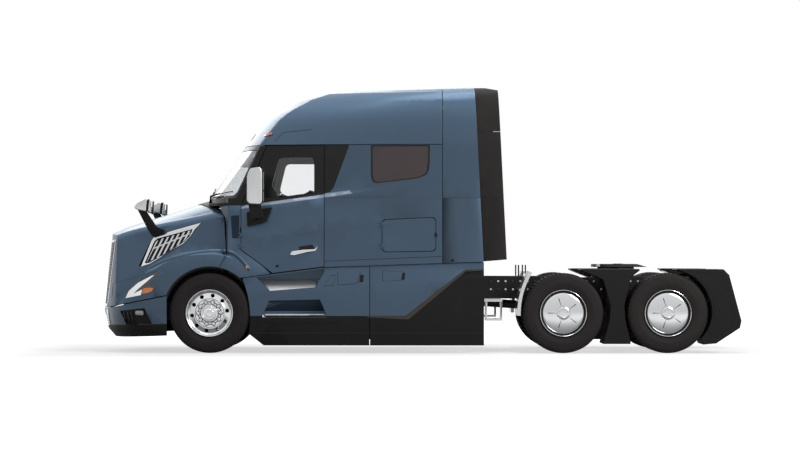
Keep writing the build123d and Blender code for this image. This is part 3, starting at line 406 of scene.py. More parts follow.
def addTyre(bm, x, middle, lugs):
    half = tyreSize["width"] / 2
    outer = tyreSize["radius"]
    side = [  # from the bead out over the sidewall, as (distance from the middle, radius)
        (half - 0.044, 0.290), (half - 0.030, 0.296), (half - 0.020, 0.304), (half - 0.016, 0.311),
        (half - 0.018, 0.315),
        (half - 0.011, 0.335), (half - 0.004, 0.362), (half - 0.001, 0.372), (half, 0.376),
        (half - 0.0005, 0.384),
        (half, 0.410), (half - 0.0015, 0.432), (half - 0.004, 0.444), (half - 0.0025, 0.448),
        (half - 0.006, 0.462), (half - 0.012, 0.478), (half - 0.020, 0.489), (half - 0.026, 0.495),
    ]
    crown = half - 0.030
    tread = []
    ribs = tyreSize["ribs"]
    pitch = 2 * crown / ribs
    for i in range(ribs):
        low, high = -crown + i * pitch, -crown + (i + 1) * pitch
        drop = [0.006 * (abs(v) / crown) ** 2 for v in (low, high)]
        gap = 0.0045
        start = low if i == 0 else low + gap
        end = high if i == ribs - 1 else high - gap
        tread += [(start, outer - drop[0]), (end, outer - drop[1])]
        if i < ribs - 1:
            tread += [(high - gap * 0.4, outer - drop[1] - 0.012),
                      (high + gap * 0.4, outer - drop[1] - 0.012)]
    outline = [(middle - d, r) for d, r in side] + [(middle + y, r) for y, r in tread]
    outline += [(middle + d, r) for d, r in reversed(side)]
    faces = spinAboutY(bm, outline, (x, axleHeight), tyreSize["steps"])
    # lateral notches across the outer ribs, or across every rib on a driven wheel
    notched = []
    for face in faces:
        centre = face.calc_center_median()
        radius = math.hypot(centre.x - x, centre.z - axleHeight)
        turn = math.atan2(centre.z - axleHeight, centre.x - x) / math.tau * tyreSize["steps"]
        offset = abs(centre.y - middle)
        onTop = radius > outer - 0.0085 and face.normal.length > 0
        atShoulder = crown - pitch < offset < crown + 0.012 and radius > 0.486
        if round(turn + 0.25) % 2 == 0 and (atShoulder or (lugs and onTop)):
            notched.append(face)
    bmesh.ops.inset_individual(bm, faces=notched, thickness=0.0035, depth=0.0)
    for face in notched:
        centre = face.calc_center_median()
        inward = Vector((x - centre.x, 0, axleHeight - centre.z)).normalized() * (0.009 if lugs else 0.005)
        for v in face.verts:
            v.co += inward


def buildTyres():
    for side, sign in sides:
        node = side.lower()
        bm = bmesh.new()
        addTyre(bm, axles["steer"], sign * tyreSize["steerMiddle"], False)
        finishPiece(f"steerTyre{side}", bm, f"steer_wheel_{node}", "rubber", "tyre", [f"steer_tyre_{node}"])
        for place in drivePlaces:
            bm = bmesh.new()
            for middle in tyreSize["dualMiddles"]:
                addTyre(bm, axles[place], sign * middle, True)
            finishPiece(f"dualTyres{place.capitalize()}{side}", bm, f"dual_{place}_{node}", "rubber", "tyre",
                        [f"dual_tyres_{place}_{node}"])
    print("tyres built")


steerRim = {
    "holes": 10, "holeCircle": 0.224, "holeRadius": 0.0255, "nuts": 10, "nutCircle": 0.143,
    # profiles as (y, radius): the rim with its drop centre, the disc out to the hub, the ring, the cap
    "barrel": [(1.1655, 0.284), (1.1695, 0.290), (1.1690, 0.2975), (1.1640, 0.3005), (1.1590, 0.2980),
               (1.1580, 0.2925), (1.1350, 0.2880), (1.1150, 0.2740), (0.9500, 0.2740), (0.9180, 0.2880),
               (0.9120, 0.2990), (0.9060, 0.2970), (0.9060, 0.2700), (1.1020, 0.2640), (1.1240, 0.2730),
               (1.1500, 0.2790)],
    "disc": [(1.1060, 0.2760), (1.1220, 0.2780), (1.1260, 0.2740), (1.1180, 0.2640), (1.1130, 0.2530),
             (1.1250, 0.2060), (1.1300, 0.1980), (1.1290, 0.1850), (1.1200, 0.1780), (1.1200, 0.1000),
             (1.1040, 0.1000), (1.1040, 0.1900)],
    "ring": [(1.1190, 0.1370), (1.1215, 0.1370), (1.1215, 0.1480), (1.1190, 0.1480)],
    "cap": [(1.118, 0.124), (1.128, 0.124), (1.134, 0.118), (1.150, 0.112), (1.158, 0.104), (1.160, 0.086),
            (1.166, 0.080), (1.1665, 0.060), (1.1655, 0.050), (1.1685, 0.046), (1.1695, 0.020),
            (1.1695, 0.0)],
    # a nut on its washer and dark ring: start y, end y, radius, segments, material, radius at the end
    "nut": ((1.1195, 1.1225, 0.0285, 24, 1, None), (1.120, 1.127, 0.0215, 24, 0, None),
            (1.127, 1.150, 0.0185, 6, 0, 0.0175), (1.150, 1.158, 0.0160, 16, 0, 0.0110)),
}


# points on a circle about the steer axle
def circlePoints(count, shift, radius):
    for i in range(count):
        a = math.tau * (i + shift) / count
        yield axles["steer"] + radius * math.cos(a), axleHeight + radius * math.sin(a)


def buildSteerRims():
    hub = axles["steer"], axleHeight
    for side, sign in sides:
        body = f"steer_wheel_{side.lower()}"
        bm = bmesh.new()
        spinAboutY(bm, steerRim["barrel"], hub, 96)
        finishPiece(f"steerBarrel{side}", bm, body, "aluminium", "rim_metal", mirrorY=sign < 0)
        bm = bmesh.new()
        spinAboutY(bm, steerRim["disc"], hub, 120)
        punch = bmesh.new()
        for x, z in circlePoints(steerRim["holes"], 0.22, steerRim["holeCircle"]):
            addRod(punch, (x, 1.08, z), (x, 1.16, z), steerRim["holeRadius"], 28)
        if sign < 0:
            bmesh.ops.scale(punch, vec=(1, -1, 1), verts=punch.verts)
        bmesh.ops.recalc_face_normals(punch, faces=punch.faces)
        cutter = meshObject(f"holePunch{side}", punch)
        rim = finishPiece(f"steerRim{side}", bm, body, "chrome", "rim_metal", [f"steer_rim_{side.lower()}"],
                          mirrorY=sign < 0)
        cutAway(rim, cutter)
        rim.data.set_sharp_from_angle(angle=math.radians(32))

        bm = bmesh.new()
        for x, z in circlePoints(steerRim["nuts"], 0.05, steerRim["nutCircle"]):
            for start, end, radius, segments, material, radius2 in steerRim["nut"]:
                addRod(bm, (x, start, z), (x, end, z), radius, segments, material, radius2)
        spinAboutY(bm, steerRim["ring"], hub, 96, material=1)
        spinAboutY(bm, steerRim["cap"], hub, 96, closed=False)
        finishPiece(f"steerHub{side}", bm, body, ["chrome", "framePaint"], "rim_metal", mirrorY=sign < 0,
                    bevel=0.0012)
    print("steer rims built")


# profiles as (y, radius)
dualRim = {
    "outer": [(1.2150, 0.2860), (1.2300, 0.2880), (1.2345, 0.2930), (1.2340, 0.2990), (1.2290, 0.3010),
              (1.2250, 0.2975), (1.2200, 0.2900), (1.1800, 0.2780), (1.0000, 0.2740), (0.9500, 0.2720),
              (0.9350, 0.2400), (0.9350, 0.0650), (0.9500, 0.0650), (0.9540, 0.2340), (0.9800, 0.2620),
              (1.1700, 0.2680)],
    "inner": [(0.6300, 0.2990), (0.6300, 0.2860), (0.6500, 0.2740), (0.8600, 0.2720), (0.9150, 0.2400),
              (0.9150, 0.0650), (0.9345, 0.0650), (0.9345, 0.2420), (0.9000, 0.2820), (0.8950, 0.2990),
              (0.8880, 0.2990), (0.8800, 0.2880), (0.6450, 0.2880), (0.6380, 0.2990)],
    "hub": [(0.8000, 0.0620), (0.8000, 0.1400), (1.0000, 0.1400), (1.0100, 0.1300), (1.0100, 0.0620)],
}
dualCover = {
    "ring": [(1.2100, 0.2840), (1.2330, 0.2865), (1.2360, 0.2900), (1.2350, 0.2935), (1.2310, 0.2930),
             (1.2080, 0.2880)],
    "well": [(1.2120, 0.2850), (1.1950, 0.2700), (1.1900, 0.2590), (1.1860, 0.2590), (1.1900, 0.2720),
             (1.2080, 0.2870)],
    "dish": [(1.1860, 0.2600), (1.1960, 0.2590), (1.2010, 0.2520), (1.2060, 0.2300), (1.2140, 0.1700),
             (1.2190, 0.1150), (1.2200, 0.0880), (1.2160, 0.0820), (1.2160, 0.0780), (1.2240, 0.0760),
             (1.2280, 0.0700), (1.2290, 0.0560), (1.2250, 0.0520), (1.2260, 0.0)],
    "fin": [(-0.056, -0.001), (-0.050, 0.003), (0.034, 0.007), (0.050, 0.004), (0.050, -0.001),
            (0.034, -0.003)],
    "fins": 5, "finTurn": 35, "finCircle": 0.150, "finY": 1.2120, "finHeight": 0.0120,
}


def buildDualRims():
    for side, sign in sides:
        for place in drivePlaces:
            body = f"dual_{place}_{side.lower()}"
            x, z = axles[place], axleHeight
            bm = bmesh.new()
            for part, steps in (("outer", 96), ("inner", 64), ("hub", 48)):
                spinAboutY(bm, dualRim[part], (x, z), steps)
            finishPiece(f"dualRims{place.capitalize()}{side}", bm, body, "framePaint", "cover_chrome",
                        [f"dual_rims_{place}_{side.lower()}"], mirrorY=sign < 0)

            bm = bmesh.new()
            spinAboutY(bm, dualCover["ring"], (x, z), 96, material=0)
            spinAboutY(bm, dualCover["well"], (x, z), 96, material=1)
            spinAboutY(bm, dualCover["dish"], (x, z), 120, closed=False)
            for i in range(dualCover["fins"]):
                a = math.radians(dualCover["finTurn"] + i * 360 / dualCover["fins"])
                out, along = Vector((math.cos(a), 0, math.sin(a))), Vector((-math.sin(a), 0, math.cos(a)))
                centre = Vector((x, dualCover["finY"], z)) + out * dualCover["finCircle"]
                addFin(bm, [centre + out * u + along * v for u, v in dualCover["fin"]])
            finishPiece(f"dualCover{place.capitalize()}{side}", bm, body,
                        ["chrome", "framePaint", "castIron"], "cover_chrome", mirrorY=sign < 0)
    print("dual rims built")


# a shallow wedge raised on the cover and coloured dark: painted shade along the edge of a pressed fin
def addFin(bm, outline):
    face = bm.faces.new([bm.verts.new(p) for p in outline])
    moved = thicken(bm, [face], (0, dualCover["finHeight"], 0))
    for f in {f for v in moved for f in v.link_faces}:
        f.material_index = 2


def meshObject(name, bm):
    mesh = bpy.data.meshes.new(name)
    bm.to_mesh(mesh)
    bm.free()
    thing = bpy.data.objects.new(name, mesh)
    scene.collection.objects.link(thing)
    return thing


# cuts one mesh out of another (or keeps the shared part), leaving no modifier behind
def cutAway(target, cutter, keep=False, delete=True):
    cut = target.modifiers.new("cut", "BOOLEAN")
    cut.operation = "INTERSECT" if keep else "DIFFERENCE"
    cut.object = cutter
    cut.solver = "EXACT"
    depsgraph = bpy.context.evaluated_depsgraph_get()
    depsgraph.update()
    mesh = bpy.data.meshes.new_from_object(target.evaluated_get(depsgraph), depsgraph=depsgraph)
    target.modifiers.remove(cut)
    old = target.data
    name = old.name
    target.data = mesh
    bpy.data.meshes.remove(old)
    mesh.name = name
    if delete:
        mesh = cutter.data
        bpy.data.objects.remove(cutter)
        bpy.data.meshes.remove(mesh)


# ---- laying pieces on the skin

skinTrees = {}


def skinTree(*names):
    if names not in skinTrees:
        verts, faces = [], []
        for name in names:
            mesh = finishedSkin.get(name, nodes[name].data)
            start = len(verts)
            verts += [v.co.copy() for v in mesh.vertices]
            faces += [tuple(start + i for i in p.vertices) for p in mesh.polygons]
        skinTrees[names] = BVHTree.FromPolygons(verts, faces)
    return skinTrees[names]


# where a ray from outside meets the named nodes, or the nearest place on them
def skinPoint(names, start, direction):
    tree = skinTree(*names)
    return tree.ray_cast(Vector(start),
                         Vector(direction))[0] or tree.find_nearest(Vector(start)
                                                                    + Vector(direction) * 1.8)[0]


# each vertex's y is its height over the skin, which is found sideways from outside
def drapeSide(bm, names, sign, verts=None):
    for v in verts or bm.verts:
        v.co.y = skinPoint(names, (v.co.x, sign * 3, v.co.z), (0, -sign, 0)).y + sign * v.co.y


# each vertex's x is its height over the skin, which is found from the front
def drapeFront(bm, names, verts=None):
    for v in verts or bm.verts:
        v.co.x = skinPoint(names, (-5.8, v.co.y, v.co.z), (1, 0, 0)).x - v.co.x


# a flat face with its corners rounded
def addFace(bm, points, radius=0.0, steps=4, material=0):
    face = bm.faces.new([bm.verts.new(p) for p in points])
    face.material_index = material
    if radius:
        made = bmesh.ops.bevel(bm, geom=list(face.verts), offset=radius, offset_type="OFFSET", segments=steps,
                               profile=0.5, affect="VERTICES", material=-1, clamp_overlap=True)
        face = max((f for f in bm.faces if f.is_valid and any(v in f.verts for v in made["verts"])),
                   key=lambda f: f.calc_area())
    return face


def thicken(bm, faces, vec):
    grown = bmesh.ops.extrude_face_region(bm, geom=list(faces), use_keep_orig=True)
    moved = [g for g in grown["geom"] if isinstance(g, bmesh.types.BMVert)]
    bmesh.ops.translate(bm, vec=vec, verts=moved)
    return moved


def cutPlane(bm, point, normal, **options):
    bmesh.ops.bisect_plane(bm, geom=list(bm.verts) + list(bm.edges) + list(bm.faces), plane_co=point,
                           plane_no=normal, **options)


# cuts the long edges of flat work so that it can follow a curved skin
def cutLong(bm, longest):
    for _ in range(6):
        edges = [e for e in bm.edges if e.calc_length() > longest]
        if not edges:
            return
        bmesh.ops.subdivide_edges(bm, edges=edges, cuts=1, use_grid_fill=True)


# a plate seen from the side that follows the skin, rising from low to high above it
def sidePatch(outline, names, sign, low, high, radius=0.0, ring=0.0, longest=0.12, edge=0.0, material=0):
    bm = bmesh.new()
    face = addFace(bm, [(x, 0, z) for x, z in outline], radius)
    if ring:
        bmesh.ops.inset_region(bm, faces=[face], thickness=ring, use_even_offset=True)
        bmesh.ops.delete(bm, geom=[face], context="FACES")
    bmesh.ops.triangulate(bm, faces=[f for f in bm.faces if len(f.verts) > 4])
    cutLong(bm, longest)
    bmesh.ops.recalc_face_normals(bm, faces=bm.faces)
    for v in bm.verts:
        v.co.y = low
    thicken(bm, list(bm.faces), (0, high - low, 0))
    if edge:
        bevelEdges(bm, edge, 2, 40)
    for face in bm.faces:
        face.material_index = material
    drapeSide(bm, names, sign)
    return bm


def ringBetween(bm, outer, inner, place):
    loops = []
    for outline in (outer, inner):
        verts = [bm.verts.new(place(u, v)) for u, v in outline]
        loops += [bm.edges.new(pair) for pair in zip(verts, verts[1:] + verts[:1])]
    bmesh.ops.bridge_loops(bm, edges=loops)


# a band round an outline, laid on the skin
def ringPatch(outline, width, names, sign, low, high):
    bm = bmesh.new()
    cx = sum(p[0] for p in outline) / len(outline)
    cz = sum(p[1] for p in outline) / len(outline)
    grownOutline = []
    for x, z in outline:
        away = Vector((x - cx, z - cz)).normalized() * width * 1.3
        grownOutline.append((x + away.x, z + away.y))
    ringBetween(bm, grownOutline, outline, lambda x, z: (x, 0, z))
    cutLong(bm, 0.1)
    bmesh.ops.recalc_face_normals(bm, faces=bm.faces)
    for v in bm.verts:
        v.co.y = low
    thicken(bm, list(bm.faces), (0, high - low, 0))
    drapeSide(bm, names, sign)
    return bm


def joinInto(bm, other):
    mesh = bpy.data.meshes.new("part")
    other.to_mesh(mesh)
    other.free()
    bm.from_mesh(mesh)
    bpy.data.meshes.remove(mesh)


# plates laid on the skin as one piece
def layPatch(name, body, finish, slotName, outlines, names, sign, low, high, **options):
    bm = bmesh.new()
    for outline in outlines:
        joinInto(bm, sidePatch(outline, names, sign, low, high, **options))
    finishPiece(name, bm, body, finish, slotName)


# a table of such plates on both sides; braces in it stand for left or right
def layPatches(rows):
    for side, sign in sides:
        for name, body, finish, slotName, outline, names, low, high, options in rows:
            layPatch(name + side, body.format(side.lower()), finish, slotName, [outline],
                     [n.format(side.lower()) for n in names], sign, low, high, **options)


# plates given as outline, inner y and outer y, with rounded edges
def layPlates(name, body, finish, slotName, plates, sign, width, segments, angle=30, replaced=()):
    bm = bmesh.new()
    for outline, inner, outer in plates:
        sidePlate(bm, outline, inner, outer)
    bmesh.ops.recalc_face_normals(bm, faces=bm.faces)
    bevelEdges(bm, width, segments, angle)
    finishPiece(name, bm, body, finish, slotName, replaced, mirrorY=sign < 0)


# ---- body panels

beltLine = {"x": -2.236, "z": 1.871, "slope": 0.1364, "recess": 0.018, "foot": 0.046, "fade": (-1.15, -0.25)}
doorCrease = {"x": -2.238, "z": 1.424, "slope": 0.128, "push": 0.012, "above": 0.26, "below": 0.055,
              "fade": (-1.05, -0.50)}
skirtCrease = {"x": -1.850, "z": 0.771, "slope": 0.0695, "lean": 0.030, "top": 1.06}
cabSeams = {"roof": 2.635, "rear": 0.3115, "near": 0.0008}
flankCuts = {"x": -2.36, "pitch": 0.12, "count": 22, "belt": (0, 0.023, 0.046),
             "door": (-0.26, -0.12, 0, 0.055)}
cowlLine = ((-2.5, 1.871), (-2.0, 1.871))
hoodBack = {"x": -0.522, "radius": 2.196, "reach": 0.064, "near": 0.006, "above": 1.30,
            "from": 0.45, "to": 0.80}
bumperFoot = {"x": -4.1, "z": 0.345, "slope": 0.03}
seamGap = {"under": -0.003, "over": 0.004}
behindDoor = [(-1.178, 2.640), (-0.869, 2.640), (-0.869, 2.613), (-1.061, 2.0965), (-1.106, 2.040),
              (-1.178, 2.023)]


def panelMesh(node):
    bm = bmesh.new()
    bm.from_mesh(nodes[node].data)
    bmesh.ops.remove_doubles(bm, verts=bm.verts, dist=0.00002)
    bmesh.ops.dissolve_degenerate(bm, edges=bm.edges, dist=0.00001)
    return bm


# a panel that stands for its node, with softened edges
def finishPanel(name, bm, node, body="chassis", materials="bodyPaint", slotName="body_paint", width=0.003):
    finishPiece(name, bm, body, materials, slotName, [node], bevel=width, turn=False)


# slices the panel along a line seen from the side
def sliceAlong(bm, a, b):
    direction = Vector((b[0] - a[0], 0, b[1] - a[1])).normalized()
    normal = Vector((-direction.z, 0, direction.x))
    cutPlane(bm, (a[0], 0, a[1]), normal, dist=0.00005)


def paintWhere(bm, test, material):
    for face in bm.faces:
        if test(face.calc_center_median()):
            face.material_index = material


def nudge(bm, test, vec):
    bmesh.ops.translate(bm, vec=vec, verts=[v for v in bm.verts if test(v.co)])


def insideOutline(x, z, outline):
    inside = False
    for (x0, z0), (x1, z1) in zip(outline, outline[1:] + outline[:1]):
        if (z0 > z) != (z1 > z) and x < x0 + (z - z0) * (x1 - x0) / (z1 - z0):
            inside = not inside
    return inside


def lineHeight(line, x):
    return line["z"] + (x - line["x"]) * line["slope"]


def aboveBelt(p):
    return p.z > max(lineHeight(beltLine, p.x), beltLine["z"])


def smoothStep(low, high, value):
    t = min(max((value - low) / (high - low), 0), 1)
    return t * t * (3 - 2 * t)


# how far the flank stands out: the window band stands back over a rolled shoulder,
    # and a crease runs along the door
def flankRelief(x, z):
    t = min(max((lineHeight(beltLine, x) - z) / beltLine["foot"], 0), 1)
    shoulder = beltLine["recess"] * (1 - t) * (1 - smoothStep(*beltLine["fade"],
                                                              x)) * (1 - smoothStep(2.45, 2.62, z))
    above = z - lineHeight(doorCrease, x)
    reach = doorCrease["above"] if above > 0 else doorCrease["below"]
    ridge = doorCrease["push"] * max(1 - abs(above) / reach, 0) * (1 - smoothStep(*doorCrease["fade"], x))
    ridge *= smoothStep(-2.235, -2.060, x)      # nothing stands out at the hinges
    return ridge - shoulder


# the faces under the belt line that get the painted highlight
def onPaintedHighlight(p):
    return 0 < lineHeight(beltLine, p.x) - p.z < beltLine["foot"] and -2.24 < p.x < -0.85


def shapeFlank(bm):
    for i in range(flankCuts["count"]):
        x = flankCuts["x"] + i * flankCuts["pitch"]
        sliceAlong(bm, (x, 0), (x, 3))
    for line, drops in ((beltLine, flankCuts["belt"]), (doorCrease, flankCuts["door"])):
        for drop in drops:
            a, b = line["x"], line["x"] + 3
            sliceAlong(bm, (a, lineHeight(line, a) - drop), (b, lineHeight(line, b) - drop))
    for v in bm.verts:
        v.co.y += flankRelief(v.co.x, v.co.z) * (1 if v.co.y > 0 else -1)


# joins what the slicing left flat, so that it shades as one sheet
def joinFlats(bm):
    bmesh.ops.dissolve_limit(bm, angle_limit=math.radians(0.6), verts=bm.verts, edges=bm.edges,
                             delimit={"MATERIAL"})
    bmesh.ops.triangulate(bm, faces=[f for f in bm.faces if len(f.verts) > 4])


# the rear edge of the hood seen from above is an arc
def hoodRear(y):
    return hoodBack["x"] - math.sqrt(max(hoodBack["radius"] ** 2 - y * y, 0))


def buildPanels():
    # a hair's breadth keeps panels that share a plane apart
    def nearRoof(p):
        return abs(p.z - cabSeams["roof"]) < cabSeams["near"]

    def nearRear(p):
        return abs(p.x - cabSeams["rear"]) < cabSeams["near"]

    paintBlackAndHighlight = ["bodyPaint", "blackPaint", "shoulderHighlightPaint"]
    for side in ("left", "right"):
        bm = panelMesh(f"door_{side}")
        shapeFlank(bm)
        paintWhere(bm, aboveBelt, 1)
        paintWhere(bm, onPaintedHighlight, 2)
        joinFlats(bm)
        finishPanel(f"doorPanel{side.capitalize()}", bm, f"door_{side}", f"door_{side}", paintBlackAndHighlight)
        bm = panelMesh(f"luggage_door_{side}")
        joinFlats(bm)
        finishPanel(f"luggageDoorPanel{side.capitalize()}", bm, f"luggage_door_{side}",
                    f"luggage_door_{side}")

    bm = panelMesh("cab_front")
    shapeFlank(bm)
    sliceAlong(bm, *cowlLine)
    paintWhere(bm, aboveBelt, 1)
    nudge(bm, nearRoof, (0, 0, seamGap["under"]))
    joinFlats(bm)
    finishPanel("cabFrontPanel", bm, "cab_front", materials=paintBlackAndHighlight)

    bm = panelMesh("cab_sides")
    for a, b in zip(behindDoor[1:-1], behindDoor[2:]):
        sliceAlong(bm, a, b)
    shapeFlank(bm)
    paintWhere(bm, lambda p: insideOutline(p.x, p.z, behindDoor), 1)
    paintWhere(bm, onPaintedHighlight, 2)
    nudge(bm, nearRoof, (0, 0, seamGap["under"]))
    nudge(bm, nearRear, (seamGap["under"], 0, 0))
    joinFlats(bm)
    finishPanel("sleeperSides", bm, "cab_sides", materials=paintBlackAndHighlight)

    bm = panelMesh("cab_roof")
    nudge(bm, nearRoof, (0, 0, seamGap["over"]))
    nudge(bm, nearRear, (seamGap["under"], 0, 0))
    finishPanel("roofPanel", bm, "cab_roof")

    bm = panelMesh("side_extenders")
    nudge(bm, nearRear, (seamGap["over"], 0, 0))
    finishPanel("extenderPanels", bm, "side_extenders")

    bm = panelMesh("hood")
    for v in bm.verts:      # the rear edge of the hood's side reaches back to the cowl
        if v.co.z > hoodBack["above"] and v.co.x > hoodRear(v.co.y) - hoodBack["near"]:
            v.co.x += hoodBack["reach"] * smoothStep(hoodBack["from"], hoodBack["to"], abs(v.co.y))
    finishPanel("hoodPanel", bm, "hood", "hood", width=0.004)

    for node, name, slotName, finish in (("side_skirts", "skirtPanels", "body_paint", "bodyPaint"),
                                         ("lower_valances", "skirtValances", "black_plastic",
                                          "blackPlastic")):
        bm = panelMesh(node)
        a, b = skirtCrease["x"], skirtCrease["x"] + 3
        sliceAlong(bm, (a, lineHeight(skirtCrease, a)), (b, lineHeight(skirtCrease, b)))
        for v in bm.verts:
            foot = lineHeight(skirtCrease, v.co.x)
            lean = min(max((v.co.z - foot) / (skirtCrease["top"] - foot), 0), 1.1)
            if abs(v.co.y) > 1.1:
                v.co.y -= math.copysign(skirtCrease["lean"] * lean, v.co.y)
        finishPanel(name, bm, node, "chassis", finish, slotName, 0.004)

    bm = panelMesh("bumper")
    g = bumperFoot
    sliceAlong(bm, (g["x"], g["z"]), (g["x"] + 1, g["z"] + g["slope"]))
    paintWhere(bm, lambda p: p.z < g["z"] + (p.x - g["x"]) * g["slope"], 1)
    finishPanel("bumperPanel", bm, "bumper", materials=["bodyPaint", "blackPlastic"], width=0.005)
    print("panels built")


# ---- hood details

grilleMesh = {"low": 0.590, "high": 1.430, "halfLow": 0.536, "halfHigh": 0.616, "columns": 11, "rows": 12,
              "bar": 0.012,
              "frame": 0.026, "proud": 0.0215, "outside": -0.006, "sunk": -0.012, "spread": 1.02,
              "backing": (-0.010, 0.004)}
ventFrame = {
    "outer": [(-3.534, 1.092), (-3.400, 1.430), (-3.352, 1.490), (-2.757, 1.655), (-2.845, 1.565),
              (-2.900, 1.478), (-2.985, 1.388), (-3.122, 1.312), (-3.300, 1.196), (-3.420, 1.128)],
    "inner": [(-3.484, 1.136), (-3.362, 1.418), (-3.322, 1.452), (-2.872, 1.572), (-2.874, 1.560),
              (-2.910, 1.486), (-2.990, 1.400), (-3.124, 1.324), (-3.302, 1.208), (-3.422, 1.141)],
    "field": [(-3.458, 1.152), (-3.344, 1.412), (-3.305, 1.441), (-2.884, 1.560), (-2.920, 1.486),
              (-2.996, 1.404), (-3.128, 1.328), (-3.304, 1.212)],
    "bars": 7, "lean": 0.50, "barWidth": 0.024, "proud": 0.016, "ends": (0.02, 0.16), "low": 0.0015,
    "barHeight": 0.011, "rail": ((-3.385, 1.320), (-2.905, 1.515)), "railHalf": 0.008,
}


def trapezoid(low, high, halfLow, halfHigh, shrink=0.0):
    return [(-halfLow + shrink, low + shrink), (halfLow - shrink, low + shrink),
            (halfHigh - shrink, high - shrink), (-halfHigh + shrink, high - shrink)]


def buildGrille():
    g = grilleMesh
    outer = trapezoid(g["low"], g["high"], g["halfLow"], g["halfHigh"], g["outside"])
    inner = trapezoid(g["low"], g["high"], g["halfLow"], g["halfHigh"], g["frame"])
    bm = bmesh.new()
    ringBetween(bm, outer, inner, lambda y, z: (0, y, z))
    cutLong(bm, 0.10)
    for v in bm.verts:
        v.co.x = g["sunk"]
    thicken(bm, list(bm.faces), (g["proud"], 0, 0))
    bevelEdges(bm, 0.005, 2, 40)
    drapeFront(bm, ["grille", "hood"])
    finishPiece("grilleFrame", bm, "hood", "chrome", "mirror_chrome")

    # diamond lattice: poke a grid, drop the grid's own lines, and turn what is left into bars
    bm = bmesh.new()
    bmesh.ops.create_grid(bm, x_segments=g["columns"], y_segments=g["rows"], size=0.5)
    own = list(bm.edges)
    bmesh.ops.poke(bm, faces=list(bm.faces))
    bmesh.ops.dissolve_edges(bm, edges=[e for e in own if e.is_valid and len(e.link_faces) == 2],
                             use_verts=False)
    width, height = g["halfHigh"] * 2, g["high"] - g["low"]
    for v in bm.verts:
        u, w = v.co.x, v.co.y
        v.co = Vector((0.002, u * width * g["spread"], g["low"] + (w + 0.5) * height))
    edges = [(Vector((0, outer[i][0], outer[i][1])),
              Vector((0, outer[(i + 1) % 4][0], outer[(i + 1) % 4][1])))
             for i in range(4)]
    for a, b in edges:
        normal = (b - a).cross(Vector((1, 0, 0)))
        cutPlane(bm, a, normal, clear_outer=True)
    bmesh.ops.wireframe(bm, faces=list(bm.faces), thickness=g["bar"], use_replace=True, use_even_offset=True)
    drapeFront(bm, ["grille"])
    finishPiece("grilleLattice", bm, "hood", "meshSteel", "mirror_chrome", sharp=50)

    bm = bmesh.new()
    addFace(bm, [(0, y, z) for y, z in inner])
    cutLong(bm, 0.15)
    back, thick = g["backing"]
    thicken(bm, list(bm.faces), (thick, 0, 0))
    for v in bm.verts:
        v.co.x += back
    drapeFront(bm, ["grille"])
    finishPiece("grilleBacking", bm, "hood", "blackPlastic", "black_plastic", ["grille"])
    print("grille built")


def buildVents():
    f = ventFrame
    for side, sign in sides:
        bm = bmesh.new()
        ringBetween(bm, f["outer"], f["inner"], lambda x, z: (x, 0, z))
        cutLong(bm, 0.09)
        thicken(bm, list(bm.faces), (0, f["proud"], 0))
        bevelEdges(bm, 0.006, 2, 40)
        drapeSide(bm, ["grille", "hood"], sign)
        finishPiece(f"ventFrame{side}", bm, "hood", "chrome", "mirror_chrome")

        # slanted bars: slice the opening into strips and raise every second one
        bm = bmesh.new()
        addFace(bm, [(x, 0, z) for x, z in f["field"]])
        start = f["field"][0]
        pitch = (f["field"][3][0] - start[0] - f["ends"][1]) / f["bars"]
        lines = []
        for i in range(f["bars"] + 1):
            x = start[0] - f["ends"][0] + i * pitch
            for shift in (0, f["barWidth"]):
                lines.append(x + shift)
                point = Vector((x + shift, 0, start[1]))
                cutPlane(bm, point, (1, 0, -f["lean"]), dist=0.0001)
        bars = []
        for face in bm.faces:
            c = face.calc_center_median()
            offset = c.x - f["lean"] * (c.z - start[1])
            isBar = any(lines[i] < offset < lines[i + 1] for i in range(0, len(lines), 2))
            face.material_index = 0 if isBar else 1
            if isBar:
                bars.append(face)
        for v in bm.verts:
            v.co.y = f["low"]
        thicken(bm, bars, (0, f["barHeight"], 0))
        for face in bm.faces:
            if face.material_index == 1 and abs(face.normal.y) < 0.5:
                face.material_index = 0
        cutLong(bm, 0.12)
        bmesh.ops.recalc_face_normals(bm, faces=bm.faces)
        drapeSide(bm, ["grille"], sign)
        finishPiece(f"ventBars{side}", bm, "hood", ["aluminium", "blackPlastic"], "mirror_chrome")

        (x0, z0), (x1, z1) = f["rail"]
        half = f["railHalf"]
        rail = [(x0, z0 - half), (x1, z1 - half), (x1, z1 + half), (x0, z0 + half)]
        bm = sidePatch(rail, ["grille"], sign, 0.002, 0.011, longest=0.1)
        finishPiece(f"ventRail{side}", bm, "hood", "aluminium", "mirror_chrome")
    print("vents built")


lamp = {
    "outline": [(-3.715, 0.688), (-3.668, 0.792), (-3.545, 0.896), (-3.357, 0.990), (-3.232, 1.062),
                (-3.301, 0.965), (-3.400, 0.868), (-3.330, 0.832), (-3.345, 0.780), (-3.410, 0.756),
                (-3.500, 0.728)],
    "upperArm": [(-3.708, 0.694), (-3.663, 0.787), (-3.542, 0.888), (-3.357, 0.981), (-3.325, 0.990),
                 (-3.431, 0.900), (-3.542, 0.808), (-3.602, 0.752)],
    "lowerArm": [(-3.708, 0.694), (-3.602, 0.752), (-3.486, 0.805), (-3.500, 0.736)],
    "amber": [(-3.486, 0.755), (-3.477, 0.815), (-3.412, 0.829), (-3.338, 0.824), (-3.357, 0.787),
              (-3.412, 0.763)],
    "bowls": ((-3.452, 0.848, 0.022), (-3.395, 0.905, 0.020)),      # x, z and radius
}


